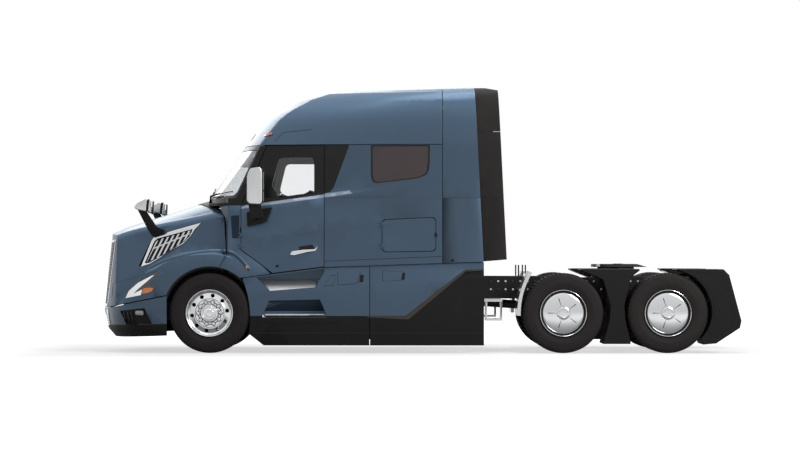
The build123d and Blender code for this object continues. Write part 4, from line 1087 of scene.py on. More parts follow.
def buildHeadlamps():
    finishPanel("lampSurround", panelMesh("headlamps"), "headlamps", "hood")
    names = ["headlamps", "hood"]
    for side, sign in sides:
        layPatch(f"headlampHousing{side}", "hood", "lampDark", "lamp_lens", [lamp["outline"]], names, sign,
                 -0.004, 0.003, radius=0.006, longest=0.05)
        bm = bmesh.new()
        for arm, radius in (("upperArm", 0.006), ("lowerArm", 0.004)):
            joinInto(bm, sidePatch(lamp[arm], names, sign, 0.003, 0.010, radius=radius, longest=0.05,
                                   edge=0.002))
        finishPiece(f"runningLight{side}", bm, "hood", "lampWhite", "lamp_lens")
        layPatch(f"turnLamp{side}", "hood", "lampAmber", "lamp_lens", [lamp["amber"]], names, sign,
                 0.003, 0.011, radius=0.008, longest=0.05, edge=0.002)
        # projector bowls behind the dark lens
        bm = bmesh.new()
        for x, z, r in lamp["bowls"]:
            hit = skinPoint(names, (x, sign * 3, z), (0, -sign, 0))
            place = Matrix.Translation((x, hit.y - sign * 0.012, z)) @ Matrix.Diagonal((1, 0.5, 1, 1))
            bmesh.ops.create_uvsphere(bm, u_segments=24, v_segments=12, radius=r, matrix=place)
        finishPiece(f"lampBowls{side}", bm, "hood", "chrome", "lamp_lens")
    print("headlamps built")


hoodMirror = {
    # outlines with their inner and outer y; the arm is a broad foot on the hood with a narrow neck
    "arm": ([(-3.560, 1.815), (-3.450, 1.800), (-3.330, 1.610), (-3.225, 1.560), (-3.245, 1.505),
             (-3.375, 1.470), (-3.430, 1.545)], 0.905, 0.965),
    "armTop": 1.80, "armHeight": 0.30, "armLean": 0.115,
    "shell": [([(-3.608, 1.842), (-3.560, 1.905), (-3.470, 1.950), (-3.425, 1.955), (-3.440, 1.790),
                (-3.560, 1.815)],
               0.872, 1.018)],
    "back": [([(-3.446, 1.798), (-3.428, 1.950), (-3.412, 1.950), (-3.430, 1.790)], 0.866, 1.024),
             ([(-3.378, 1.760), (-3.366, 1.925), (-3.356, 1.925), (-3.362, 1.755)], 0.880, 1.010),
             ([(-3.430, 1.780), (-3.425, 1.800), (-3.365, 1.780), (-3.368, 1.762)], 0.925, 0.965)],
    "glass": [([(-3.427, 1.805), (-3.411, 1.940), (-3.386, 1.935), (-3.396, 1.800)], 0.880, 1.010),
              ([(-3.410, 1.790), (-3.402, 1.860), (-3.380, 1.855), (-3.384, 1.775)], 0.890, 1.000)],
}


def buildHoodMirrors():
    g = hoodMirror
    for side, sign in sides:
        bm = bmesh.new()
        sidePlate(bm, *g["arm"])
        bmesh.ops.recalc_face_normals(bm, faces=bm.faces)
        for v in bm.verts:
            v.co.y -= min(max((g["armTop"] - v.co.z) / g["armHeight"], 0), 1) * g["armLean"]
        bevelEdges(bm, 0.012, 3, 30)
        finishPiece(f"hoodMirrorArm{side}", bm, "hood", "blackPlastic", "mirror_shell", mirrorY=sign < 0)
        layPlates(f"hoodMirrorShell{side}", "hood", "satinSilver", "mirror_shell", g["shell"], sign, 0.022, 4,
                  replaced=["hood_mirrors"])
        layPlates(f"hoodMirrorBack{side}", "hood", "blackPlastic", "mirror_shell", g["back"], sign, 0.004, 2)
        layPlates(f"hoodMirrorGlass{side}", "hood", "satinSilver", "mirror_chrome", g["glass"],
                  sign, 0.006, 3)
    print("hood mirrors built")


# ---- bumper details

intakeSlat = {"count": 3, "x": -3.722, "pitch": 0.052, "z": (0.392, 0.522)}
bumperPatches = (
    # piece, body, finish, slot, outline, nodes it lies on, low, high, options
    ("fogLampBody", "chassis", "blackPlastic", "black_plastic",
     [(-3.585, 0.470), (-3.450, 0.470), (-3.460, 0.548),
     (-3.590, 0.545)], ["bumper_inserts"], -0.002, 0.010, {"radius": 0.012, "longest": 0.05, "edge": 0.002}),
    ("fogLampLens", "chassis", "lampGlass", "lamp_lens", [(-3.572, 0.482), (-3.466, 0.482), (-3.472, 0.536),
     (-3.576, 0.534)], ["bumper_inserts"], 0.008, 0.014, {"radius": 0.014, "longest": 0.05, "edge": 0.002}),
)
frontSlat = {"count": 4, "z": 0.352, "pitch": 0.034, "half": 0.495, "height": 0.012, "depth": 0.014}
bumperTrim = [(0.560, 0.548), (0.635, 0.548), (0.560, 0.345), (0.520, 0.345)]


def buildBumperDetails():
    names = ["bumper_inserts"]
    for side, sign in sides:
        bm = bmesh.new()
        low, high = intakeSlat["z"]
        for i in range(intakeSlat["count"]):      # upright slats in the front half of the side intake
            x = intakeSlat["x"] + i * intakeSlat["pitch"]
            slat = [(x + 0.006, low), (x + 0.022, low), (x - 0.004, high), (x - 0.022, high)]
            joinInto(bm, sidePatch(slat, names, sign, -0.002, 0.014, longest=0.06, edge=0.002))
        sill = [(-3.700, 0.362), (-3.352, 0.353), (-3.362, 0.372), (-3.705, 0.380)]
        joinInto(bm, sidePatch(sill, names, sign, -0.002, 0.017, longest=0.06))
        finishPiece(f"intakeSlats{side}", bm, "chassis", "blackPaint", "black_plastic")
    layPatches(bumperPatches)
    # bright trim down the nose of the bumper, under the grille
    bm = bmesh.new()
    for sign in (-1, 1):
        addFace(bm, [(0, sign * y, z) for y, z in bumperTrim])
    bmesh.ops.recalc_face_normals(bm, faces=bm.faces)
    cutLong(bm, 0.06)
    thicken(bm, list(bm.faces), (0.012, 0, 0))
    for v in bm.verts:
        v.co.x -= 0.002
    drapeFront(bm, ["bumper"])
    finishPiece("bumperTrim", bm, "chassis", "chrome", "mirror_chrome")
    # slats across the front intake
    bm = bmesh.new()
    half = frontSlat["half"]
    for i in range(frontSlat["count"]):
        z = frontSlat["z"] + i * frontSlat["pitch"]
        top = z + frontSlat["height"]
        addFace(bm, [(0, -half, z), (0, half, z), (0, half, top), (0, -half, top)])
    cutLong(bm, 0.08)
    thicken(bm, list(bm.faces), (frontSlat["depth"], 0, 0))
    drapeFront(bm, names)
    finishPiece("frontIntakeSlats", bm, "chassis", "blackPaint", "black_plastic")
    print("bumper details built")


# ---- cab details

doorHandle = {"grip": [(-1.614, 1.247), (-1.586, 1.288), (-1.440, 1.308), (-1.300, 1.314), (-1.262, 1.352),
                       (-1.290, 1.296), (-1.400, 1.280), (-1.560, 1.240)],
              "pocket": [(-1.500, 1.285), (-1.500, 1.348), (-1.330, 1.372), (-1.300, 1.330), (-1.330, 1.300)]}
doorEdge = [(-2.2395, 1.303), (-2.2395, 1.880), (-1.9175, 2.635), (-1.1775, 2.635), (-1.1775, 1.090),
            (-1.8345, 1.007), (-1.9545, 1.095)]


doorGlassInset = 0.014
doorSeal = {"low": -0.046, "high": -0.034, "skin": ["cab_front", "cab_sides"]}
doorPatches = (
    # piece, body, finish, slot, outline, nodes it lies on, low, high, options
    ("doorHandle", "door_{}", "chrome", "mirror_chrome", doorHandle["grip"], ["door_{}"], 0.004, 0.026,
     {"radius": 0.008, "longest": 0.08, "edge": 0.005}),
    # a flat dark patch above the handle, painted shade for the recess the handle sits in
    ("handlePocketShade", "door_{}", "blackPaint", "black_plastic", doorHandle["pocket"], ["door_{}"],
     -0.002, 0.0015, {"radius": 0.01, "longest": 0.08}),
    ("waistStrip", "door_{}", "rubber", "black_plastic", [(-2.235, 1.868), (-1.180, 2.012), (-1.180, 2.040),
     (-2.235, 1.892)], ["door_{}"], 0.001, 0.006, {"longest": 0.08}),
    ("sleeperFootSeam", "chassis", "blackPaint", "black_plastic",
     [(-1.172, 1.166), (0.300, 1.226), (0.300, 1.220),
     (-1.172, 1.160)], ["cab_sides"], -0.001, 0.0012, {"longest": 0.12}),
)


def buildDoorDetails():
    layPatches(doorPatches)
    for side, sign in sides:
        door, glass = f"door_{side.lower()}", f"door_glass_{side.lower()}"
        bm = panelMesh(glass)
        bmesh.ops.translate(bm, vec=(0, -sign * doorGlassInset, 0), verts=bm.verts)
        finishPiece(f"doorGlass{side}", bm, door, "sideGlass", "glass", [glass], turn=False)
        # two beads of rubber round the opening
        names = [door] + doorSeal["skin"]
        inner = [(x * 0.985 - 0.026, 1.80 + (z - 1.80) * 0.97) for x, z in doorEdge]
        bm = bmesh.new()
        for outline, width in ((doorEdge, 0.016), (inner, 0.022)):
            joinInto(bm, ringPatch(outline, width, names, sign, doorSeal["low"], doorSeal["high"]))
        finishPiece(f"doorSeal{side}", bm, "chassis", "rubber", "black_plastic")
    print("door details built")


doorMirror = {
    "head": [(-2.125, 2.270), (-2.095, 2.322), (-1.985, 2.345), (-1.952, 2.320), (-1.945, 2.262),
             (-1.945, 1.905), (-1.975, 1.872), (-2.110, 1.880), (-2.140, 1.915), (-2.138, 2.225)],
    "outer": 1.499, "inner": 1.309, "backX": (-1.952, -1.932), "backZ": (2.300, 1.895),
    "glassX": (-1.934, -1.929),
    "glassZ": ((2.055, 2.285), (1.915, 2.035)),      # flat glass above, wide-angle glass below
    "armZ": ((1.800, 1.862), (1.720, 1.800)), "armRadius": 0.024,
    "neck": ([(-2.125, 1.880), (-1.970, 1.880), (-1.930, 1.716), (-2.090, 1.690)], 1.350, 1.430),
    "foot": [(-2.160, 1.783), (-1.840, 1.848), (-1.908, 1.671), (-1.935, 1.655), (-2.154, 1.604)],
}


def buildDoorMirrors():
    g = doorMirror
    for side, sign in sides:
        door = f"door_{side.lower()}"
        layPlates(f"mirrorShell{side}", door, "satinSilver", "mirror_shell",
                  [(g["head"], g["inner"], g["outer"])], sign, 0.034, 5, 25, [f"door_mirror_{side.lower()}"])
        bm = bmesh.new()
        (x0, x1), (z0, z1) = g["backX"], g["backZ"]
        sidePlate(bm, [(x0, z0), (x1, z0), (x1, z1), (x0, z1)], g["inner"] + 0.012, g["outer"] - 0.012)
        bmesh.ops.recalc_face_normals(bm, faces=bm.faces)
        bevelEdges(bm, 0.008, 3, 25)
        for z0, z1 in g["armZ"]:      # two arms reach out from the foot on the door
            arm = [(-2.030, 1.180, z0 - 0.01), (-2.030, 1.300, z0 + 0.01), (-2.035, 1.390, z1 + 0.02)]
            addTube(bm, arm, g["armRadius"])
        sidePlate(bm, *g["neck"])
        finishPiece(f"mirrorArm{side}", bm, door, "blackPlastic", "mirror_shell", mirrorY=sign < 0,
                    bevel=0.006)
        bm = bmesh.new()
        x0, x1 = g["glassX"]
        for z0, z1 in g["glassZ"]:
            sidePlate(bm, [(x0, z0), (x1, z0), (x1, z1), (x0, z1)], g["inner"] + 0.022, g["outer"] - 0.022)
        finishPiece(f"mirrorGlass{side}", bm, door, "chrome", "mirror_chrome", mirrorY=sign < 0)
        layPatch(f"mirrorFoot{side}", door, "blackPlastic", "mirror_shell", [g["foot"]], [door], sign,
                 -0.001, 0.055, radius=0.015, longest=0.1, edge=0.012)
    print("door mirrors built")


sleeperWindow = [(-0.573, 2.613), (0.136, 2.613), (0.130, 2.400), (0.118, 2.310), (0.090, 2.262),
                 (0.040, 2.236), (-0.040, 2.218), (-0.490, 2.160), (-0.535, 2.168), (-0.560, 2.200),
                 (-0.568, 2.250)]


windowSkin = ["cab_sides", "cab_glass"]
glassPatches = (
    # piece, body, finish, slot, outline, nodes it lies on, low, high, options
    ("sleeperWindow", "chassis", "tintedGlass", "glass", sleeperWindow, windowSkin, -0.003, 0.004,
     {"radius": 0.018, "longest": 0.1}),
    ("luggageTrim", "luggage_door_{}", "blackPlastic", "black_plastic",
     [(-0.330, 1.742), (0.020, 1.742), (0.020, 1.732),
     (-0.330, 1.732)], ["luggage_door_{}"], 0.001, 0.003, {"longest": 0.1}),
)
tintedFrom = -1.2      # glass behind this x is dark


def buildGlass():
    layPatches(glassPatches)
    for side, sign in sides:
        bm = ringPatch(sleeperWindow, 0.016, windowSkin, sign, -0.002, 0.007)
        finishPiece(f"sleeperWindowSeal{side}", bm, "chassis", "rubber", "black_plastic")
    bm = panelMesh("cab_glass")
    paintWhere(bm, lambda p: p.x > tintedFrom, 1)
    finishPiece("windshield", bm, "chassis", ["frontGlass", "tintedGlass"], "glass",
                ["cab_glass"], turn=False)
    print("glass built")


roofLamp = {
    "middle": (-0.36, 0.0, 0.36), "x": -2.120, "size": (0.115, 0.070, 0.024),
    "outer": [(-1.963, 2.747), (-1.845, 2.775), (-1.845, 2.802), (-1.955, 2.772)],
}
roofBead = {"line": [(-1.812, 2.700), (-1.756, 2.772), (-1.700, 2.818), (-1.500, 2.838), (-1.350, 2.852)],
            "height": 0.018}
cabPatches = (
    # piece, body, finish, slot, outline, nodes it lies on, low, high, options
    ("roofBead", "chassis", "bodyPaint", "body_paint",
     roofBead["line"] + [(x, z - roofBead["height"]) for x, z in reversed(roofBead["line"])], ["cab_roof"],
     -0.001, 0.008, {"longest": 0.08}),
    ("sideMarker", "chassis", "lampAmber", "lamp_lens", [(-2.172, 1.072), (-2.152, 1.068), (-2.146, 1.108),
     (-2.168, 1.112)], ["cab_front", "door_{}"], 0.000, 0.014, {"radius": 0.006}),
    ("luggageLatch", "chassis", "blackPlastic", "black_plastic",
     [(0.212, 1.468), (0.244, 1.468), (0.244, 1.520),
     (0.212, 1.520)], ["cab_sides", "luggage_door_{}"], 0, 0.006, {"radius": 0.008}),
    # a flat dark patch on the cowl side, painted shade for the recess there
    ("cowlPaintedShade", "chassis", "recessPaint", "body_paint", [(-2.366, 1.738), (-2.258, 1.745), (-2.258, 1.459),
     (-2.346, 1.452)], ["cab_front"], 0.0, 0.002, {"radius": 0.01, "longest": 0.08}),
)
cabPlugs = ((-1.774, 1.102), (0.437, 1.172))
cowl = {
    "half": 12, "pitch": 0.06, "gap": 0.004, "shortest": 0.018, "reach": 0.125, "proud": 0.003,
    "thick": 0.008,
    "corner": ([(-2.398, 1.866), (-2.398, 1.300), (-2.424, 1.300), (-2.430, 1.640), (-2.446, 1.720),
                (-2.500, 1.806), (-2.520, 1.862)], 0.880, 1.085),
    "cornerLean": 1.6,
    "deck": ([(-2.690, 0.52), (-2.610, 0.72), (-2.520, 0.92), (-2.400, 1.05), (-2.400, 0.90), (-2.56, 0.52)],
             1.868, 1.905),
}
wiper = {"blades": (((0.55, 1.985), (-0.16, 2.10)), ((-0.25, 1.99), (-0.96, 2.05))), "steps": 8, "off": 0.022,
         "pivotZ": 1.90, "bladeRadius": 0.007, "spineRadius": 0.010, "armRadius": 0.011}
sunShade = {"start": 0.10, "length": 0.70, "steps": 9, "z": (2.400, 2.545), "behind": 0.050, "thick": 0.022}


def buildRoofLamps():
    bm = bmesh.new()
    for sign in (-1, 1):
        joinInto(bm, sidePatch(roofLamp["outer"], ["cab_roof"], sign, -0.001, 0.022, radius=0.008,
                               longest=0.05, edge=0.005))
    tree = skinTree("cab_roof")
    for y in roofLamp["middle"]:
        hit, normal = tree.ray_cast(Vector((roofLamp["x"], y, 6)), Vector((0, 0, -1)))[:2]
        turn = Vector((0, 0, 1)).rotation_difference(normal).to_matrix().to_4x4()
        place = Matrix.Translation(hit) @ turn @ Matrix.Diagonal((*roofLamp["size"], 1))
        bmesh.ops.create_uvsphere(bm, u_segments=20, v_segments=10, radius=0.5, matrix=place)
    finishPiece("roofMarkerLamps", bm, "chassis", "lampAmber", "lamp_lens")


# black cowl over the rear of the hood, and the painted corners that carry the hood's line to the cab
def buildCowl():
    bm = bmesh.new()
    rows = []
    for k in range(-cowl["half"], cowl["half"] + 1):
        y = k * cowl["pitch"]
        rear = hoodRear(y) - cowl["gap"]
        front = rear - cowl["shortest"] - cowl["reach"] * (1 - abs(k) / cowl["half"])
        rows.append([bm.verts.new(skinPoint(["hood"], (x, y, 5), (0, 0, -1)) + Vector((0, 0, cowl["proud"])))
                     for x in (front, (front + rear) / 2, rear)])
    for low, high in zip(rows, rows[1:]):
        for j in (0, 1):
            bm.faces.new((low[j], low[j + 1], high[j + 1], high[j]))
    thicken(bm, list(bm.faces), (0, 0, cowl["thick"]))
    finishPiece("cowlPanel", bm, "hood", "blackPlastic", "black_plastic", bevel=0.002)
    for side, sign in sides:
        bm = bmesh.new()
        sidePlate(bm, *cowl["corner"])
        for v in bm.verts:
            if v.co.y > 1:
                v.co.y -= max(cowl["corner"][0][0][0] - v.co.x, 0) * cowl["cornerLean"]
        finishPiece(f"cowlCorner{side}", bm, "chassis", "bodyPaint", "body_paint", mirrorY=sign < 0,
                    bevel=0.006)
        bm = bmesh.new()
        topPlate(bm, *cowl["deck"])
        finishPiece(f"cowlDeck{side}", bm, "chassis", "blackPlastic", "black_plastic", mirrorY=sign < 0,
                    bevel=0.004)


def buildWipers():
    bm = bmesh.new()
    skin, fromFront, off = ["cab_glass", "cab_front"], (1, 0, 0), wiper["off"]
    for start, end in wiper["blades"]:
        points = []
        for k in range(wiper["steps"] + 1):
            t = k / wiper["steps"]
            y, z = start[0] + (end[0] - start[0]) * t, start[1] + (end[1] - start[1]) * t
            points.append((skinPoint(skin, (-5.5, y, z), fromFront).x - off, y, z))
        addTube(bm, points, wiper["bladeRadius"], 8)
        addTube(bm, [(x - 0.016, y, z) for x, y, z in points[3:6]], wiper["spineRadius"], 8)
        y, z = start[0] - 0.02, wiper["pivotZ"]
        pivot = skinPoint(skin, (-5.5, y, z), fromFront)
        near, far = points[2], points[4]
        arm = [(pivot.x - 0.012, y, z), (near[0] - 0.03, near[1], near[2]), (far[0] - off, far[1], far[2])]
        addTube(bm, arm, wiper["armRadius"], 10)
    finishPiece("wipers", bm, "chassis", "blackPlastic", "black_plastic")


# folded shades hang behind the top of the glass
def buildSunShades():
    for side, sign in sides:
        bm = bmesh.new()
        rows = []
        for k in range(sunShade["steps"] + 1):
            y = sign * (sunShade["start"] + sunShade["length"] * k / sunShade["steps"])
            row = [skinPoint(["cab_glass"], (-5, y, z), (1, 0, 0)) for z in sunShade["z"]]
            rows.append([bm.verts.new((p.x + sunShade["behind"], y, p.z)) for p in row])
        for low, high in zip(rows, rows[1:]):
            bm.faces.new((low[0], low[1], high[1], high[0]))
        thicken(bm, list(bm.faces), (sunShade["thick"], 0, 0))
        finishPiece(f"sunShade{side}", bm, "chassis", "interiorPlastic", "trim_plastic", bevel=0.006)


def buildCabFittings():
    buildRoofLamps()
    layPatches(cabPatches)
    for side, sign in sides:
        plugs = [[(x - 0.020, z - 0.016), (x + 0.020, z - 0.012), (x + 0.018, z + 0.016),
                  (x - 0.018, z + 0.012)]
                 for x, z in cabPlugs]
        layPatch(f"cabPlugs{side}", "chassis", "blackPlastic", "black_plastic", plugs,
                 ["cab_sides", "cab_front", "side_extenders", f"door_{side.lower()}"], sign, 0, 0.004)
    buildCowl()
    buildWipers()
    buildSunShades()
    print("cab fittings built")


# ---- skirts and steps

skirtSkin = ["side_skirts", "lower_valances"]
stepTread = {
    # height, front, rear, inner and outer y
    "treads": ((0.911, -1.985, -1.250, 0.965, 1.078), (0.489, -1.925, -1.175, 1.025, 1.200)),
    "thick": 0.004, "studs": (24, 3), "studRadius": 0.008, "studTop": 0.005,
}
# bright noses: the upper one slopes out towards its foot, the lower one is a thin upright strip
upperNose = {"outline": [(-1.975, 0.915), (-1.262, 0.915), (-1.296, 0.832), (-1.865, 0.786)],
             "y": 1.084, "z": 0.911, "slope": 0.945}
lowerNose = {"outline": [(-1.930, 0.494), (-1.180, 0.494), (-1.180, 0.478), (-1.925, 0.478)], "y": 1.196}
hatchLines = (
    [(-1.184, 0.850), (-1.097, 0.980), (-1.039, 0.980), (-1.068, 0.858)],
    [(-0.439, 0.911), (-0.439, 1.040), (-0.186, 1.032), (-0.215, 0.924)],
)
hatchEdge = [(-1.010, 1.030), (-1.010, 0.862), (-0.765, 0.880), (-0.722, 1.030)]
hatchLineHalf = 0.0025
# x and z of the finger slots
hatchSlots = ((-0.738, -0.680, 0.895, 0.990), (-0.204, -0.158, 0.925, 1.018))
extenderFoot = ((0.318, 1.150, 1.085), (0.828, 1.166, 1.260))
skirtPatches = (
    # piece, body, finish, slot, outline, nodes it lies on, low, high, options
    ("skirtTrim", "chassis", "aluminium", "cover_chrome", [(-1.962, 0.492), (-1.155, 0.492), (-1.155, 0.452),
     (-1.962, 0.452)], skirtSkin, 0.001, 0.010, {"longest": 0.09, "edge": 0.003}),
    ("skirtLip", "chassis", "blackPlastic", "black_plastic",
     [(-2.000, 0.448), (-0.985, 0.468), (-0.985, 0.385),
     (-2.030, 0.385)], skirtSkin, 0.001, 0.007, {"longest": 0.09}),
    ("valanceEdge", "chassis", "edgePlastic", "black_plastic",
     [(-0.640, 0.468), (-0.150, 0.468), (0.586, 1.052),
     (0.822, 1.055), (0.822, 1.045), (0.606, 1.034), (-0.118, 0.428), (-0.640, 0.456)], skirtSkin,
     0.0004, 0.004, {"longest": 0.08}),
    ("rubberLine", "chassis", "rubber", "black_plastic", [(0.834, 0.246), (-2.080, 0.246), (-2.070, 0.262),
     (0.834, 0.262)], ["lower_valances"], 0.001, 0.006, {"longest": 0.12}),
)


# rows of studs for grip
def addStuds(bm, xs, ys, z, height, radius, top):
    for x in xs:
        for y in ys:
            addRod(bm, (x, y, z), (x, y, z + height), radius, 8, 0, radius2=top)


def buildStepDetails():
    layPatches(skirtPatches)
    columns, rows = stepTread["studs"]
    for side, sign in sides:
        bm = bmesh.new()
        for z, x0, x1, inner, outer in stepTread["treads"]:
            addBox(bm, (x0, inner, z), (x1, outer, z + stepTread["thick"]), 0)
            xs = [x0 + 0.03 + (x1 - x0 - 0.06) * i / (columns - 1) for i in range(columns)]
            ys = [inner + 0.03 + (outer - inner - 0.05) * j / (rows - 1) for j in range(rows)]
            addStuds(bm, xs, ys, z + 0.003, 0.005, stepTread["studRadius"], stepTread["studTop"])
        finishPiece(f"stepTreads{side}", bm, "chassis", "aluminium", "tank_metal", mirrorY=sign < 0)
        bm = bmesh.new()
        for nose in (upperNose, lowerNose):
            lean = nose.get("slope", 0)
            face = addFace(bm, [(x, nose["y"] + (nose.get("z", z) - z) * lean, z) for x,
                                z in nose["outline"]])
            thicken(bm, [face], (0, 0.004, 0.003))
        finishPiece(f"stepNoses{side}", bm, "chassis", "satinSilver", "cover_chrome", mirrorY=sign < 0,
                    bevel=0.002)
        bm = bmesh.new()
        for outline in hatchLines:
            joinInto(bm, ringPatch(outline, 0.004, skirtSkin, sign, 0.0002, 0.0016))
        for a, b in zip(hatchEdge, hatchEdge[1:]):
            across = Vector((b[0] - a[0], b[1] - a[1])).normalized() * hatchLineHalf
            outline = [(a[0] - across.y, a[1] + across.x), (b[0] - across.y, b[1] + across.x),
                       (b[0] + across.y, b[1] - across.x), (a[0] + across.y, a[1] - across.x)]
            joinInto(bm, sidePatch(outline, skirtSkin, sign, 0.0002, 0.0014, longest=0.06))
        for x0, x1, z0, z1 in hatchSlots:
            outline = [(x0, z0), (x1 - 0.008, z0 + 0.006), (x1, z1), (x0 + 0.010, z1)]
            joinInto(bm, sidePatch(outline, skirtSkin, sign, 0.0002, 0.002))
        finishPiece(f"hatchLines{side}", bm, "chassis", "blackPaint", "black_plastic")
        bm = bmesh.new()
        addBox(bm, *extenderFoot)
        finishPiece(f"extenderFoot{side}", bm, "chassis", "blackPlastic", "black_plastic", mirrorY=sign < 0,
                    bevel=0.003)
    print("step details built")


# ---- fenders and wheel arches

fenderBead = {"radius": 0.030, "sunk": 0.017,
              "hood": [(-3.388, 1.075), (-3.260, 1.140), (-3.118, 1.193), (-2.865, 1.261), (-2.612, 1.289),
                       (-2.500, 1.290), (-2.430, 1.286)],
              "chassis": [(-2.398, 1.283), (-2.342, 1.269), (-2.280, 1.232), (-2.223, 1.177), (-2.170, 1.115),
                          (-2.122, 1.050)]}


# halves the corners of a run of points, three times over
def softened(points):
    points = [Vector(p) for p in points]
    for _ in range(3):
        cut = [points[0]]
        for a, b in zip(points, points[1:]):
            cut += [a.lerp(b, 0.25), a.lerp(b, 0.75)]
        points = cut + [points[-1]]
    return points


def buildFenderBeads():
    for side, sign in sides:
        for body, names in (("hood", ["hood"]), ("chassis", ["cab_front"])):
            bm = bmesh.new()
            points = []
            run = softened(fenderBead[body])
            for i, p in enumerate(run):
                hit = skinPoint(names, (p.x, sign * 3, p.y), (0, -sign, 0))
                ends = min(i, len(run) - 1 - i if body == "chassis" else 99, 8) / 8
                points.append((p.x, hit.y - sign * (fenderBead["sunk"] + (1 - ends) * 0.016), p.y))
            addTube(bm, points, fenderBead["radius"], 20)
            finishPiece(f"fenderBead{body.capitalize()}{side}", bm, body, "bodyPaint", "body_paint", sharp=60)
    print("fender beads built")


archLip = {
    "radii": (0.564, 0.590), "reach": 0.02, "depth": 0.020, "steps": 28,
    # piece, body, first and last angle, nodes that it lies on
    "lengths": (("hoodArchLip", "hood", 71, 168, ["hood"]),
                ("cabArchLip", "chassis", 14, 66, ["side_skirts", "cab_front"])),
}
archShield = {"y": 0.455, "half": 0.015, "x": (-2.480, -2.200), "z": (0.900, 1.260)}


def buildArches():
    centre = Vector((axles["steer"], 0, axleHeight))
    # black lip round the wheel arch, in two lengths that part at the hood's seam
    for side, sign in sides:
        for name, body, first, last, names in archLip["lengths"]:
            bm = bmesh.new()
            rows = []
            for k in range(archLip["steps"] + 1):
                a = math.radians(first + (last - first) * k / archLip["steps"])
                rows.append([bm.verts.new((axles["steer"] + r * math.cos(a), 0, axleHeight + r * math.sin(a)))
                             for r in archLip["radii"]])
            for low, high in zip(rows, rows[1:]):
                bm.faces.new((low[0], low[1], high[1], high[0]))
            for low, high in rows:
                edge = high.co + (high.co - centre).normalized() * archLip["reach"]
                y = skinPoint(names, (edge.x, sign * 3, edge.z), (0, -sign, 0)).y
                low.co.y, high.co.y = y - sign * 0.030, y - sign * 0.006
            thicken(bm, list(bm.faces), (0, -sign * archLip["depth"], 0))
            finishPiece(f"{name}{side}", bm, body, "archPlastic", "black_plastic")
    g = archShield
    bm = bmesh.new()
    for sign in (-1, 1):
        addBox(bm, (g["x"][0], sign * g["y"] - g["half"], g["z"][0]),
               (g["x"][1], sign * g["y"] + g["half"], g["z"][1]))
    finishPiece("archShields", bm, "chassis", "blackPlastic", "black_plastic", bevel=0.004)
    print("arches built")


# ---- rear of the chassis

railHoles = {"x0": 0.95, "x1": 3.80, "pitch": 0.095, "z": (0.800, 0.905), "y": 0.434}
tailInner = [(3.300, 1.030), (3.800, 1.022), (3.870, 0.965), (4.010, 0.430), (3.990, 0.330), (3.790, 0.190),
             (3.660, 0.180), (3.760, 0.420), (3.720, 0.720), (3.580, 0.930)]
tailLamp = {"box": ((3.862, 0.250, 0.800), (3.905, 0.640, 0.900)), "x": 3.905, "y": 0.310,
            "pitch": 0.118, "z": 0.850, "radius": 0.048, "lenses": (1, 1, 2)}
# ahead of or behind each driven axle: start x, z and end x, z, then y and radius
axleGear = (((-0.150, 0.560), (-0.330, 0.600), 0.470, 0.078, 28),
            ((-0.225, 0.576), (-0.245, 0.582), 0.470, 0.088, 28),
            ((0.110, 0.450), (0.060, 0.800), 0.455, 0.034, 20))
deckTread = {"plate": ((0.850, 0.450, 0.680), (1.060, 1.148, 0.684)),
             "nose": ((0.842, 1.140, 0.652), (1.068, 1.152, 0.684)),
             "x": 0.866, "y": 0.52, "pitch": (0.026, 0.046), "studs": (8, 14)}
engineTop = {"count": 6, "x": -3.50, "pitch": 0.150, "width": 0.110, "half": 0.20, "z": (1.520, 1.545),
             "pipeRadius": 0.026, "pipe": ((0.235, 1.46), (0.30, 1.47), (0.355, 1.40), (0.36, 1.28)),
             "rail": ((-3.560, 0.375, 1.240), (-2.620, 0.375, 1.240)), "railRadius": 0.050}
tankStrap = {"x": (-0.2325, 0.4675), "y": 0.840, "z": 0.700, "radius": 0.334, "section": 0.012,
             "steps": 40, "last": 34}
plainPanels = (
    # node, piece, finish, slot, width of the softened edges
    ("tandem_fenders", "tandemFenders", "blackPlastic", "black_plastic", 0.012),
    ("quarter_fenders", "quarterFenders", "satinSilver", "tank_metal", 0.006),
    ("deck_steps", "deckSteps", "satinSilver", "tank_metal", 0.004),
    ("frame_rails", "frameRails", "framePaint", "chassis_paint", 0.002),
    ("cross_members", "crossMembers", "framePaint", "chassis_paint", 0.004),
    ("drive_axles", "driveAxles", "framePaint", "chassis_paint", 0.006),
    ("front_axle", "frontAxle", "framePaint", "chassis_paint", 0.006),
    ("engine", "engineBlock", "castIron", "engine_iron", 0.012),
    ("fifth_wheel_base", "fifthWheelBase", "castIron", "fifth_wheel_iron", 0.005),
    ("battery_boxes", "batteryBoxes", "blackPlastic", "black_plastic", 0.012),
    ("fuel_tanks", "fuelTanks", "aluminium", "tank_metal", 0.020),
    ("cab_rear_wall", "cabRearWall", "blackPlastic", "black_plastic", 0.006),
    ("extender_flaps", "extenderFlaps", "rubber", "flap_rubber", 0.004),
    ("seat_bases", "seatBases", "interiorPlastic", "trim_plastic", 0.012),
    ("dashboard", "dashPanel", "interiorPlastic", "trim_plastic", 0.008),
)


def buildPlainPanels():
    for node, name, finish, slotName, width in plainPanels:
        finishPanel(name, panelMesh(node), node, "chassis", finish, slotName, width)
    print("plain panels built")


# bolt holes along a rail, with a bolt's head in every third
def addRailHoles(bm):
    y = railHoles["y"]
    count = round((railHoles["x1"] - railHoles["x0"]) / railHoles["pitch"])
    for i in range(count + 1):
        x = railHoles["x0"] + i * railHoles["pitch"]
        for z in railHoles["z"]:
            addRod(bm, (x, y - 0.004, z), (x, y + 0.004, z), 0.013, 12, 0)
            if (i + round(z * 10)) % 3 == 0:
                addRod(bm, (x, y, z), (x, y + 0.016, z), 0.014, 6, 1)


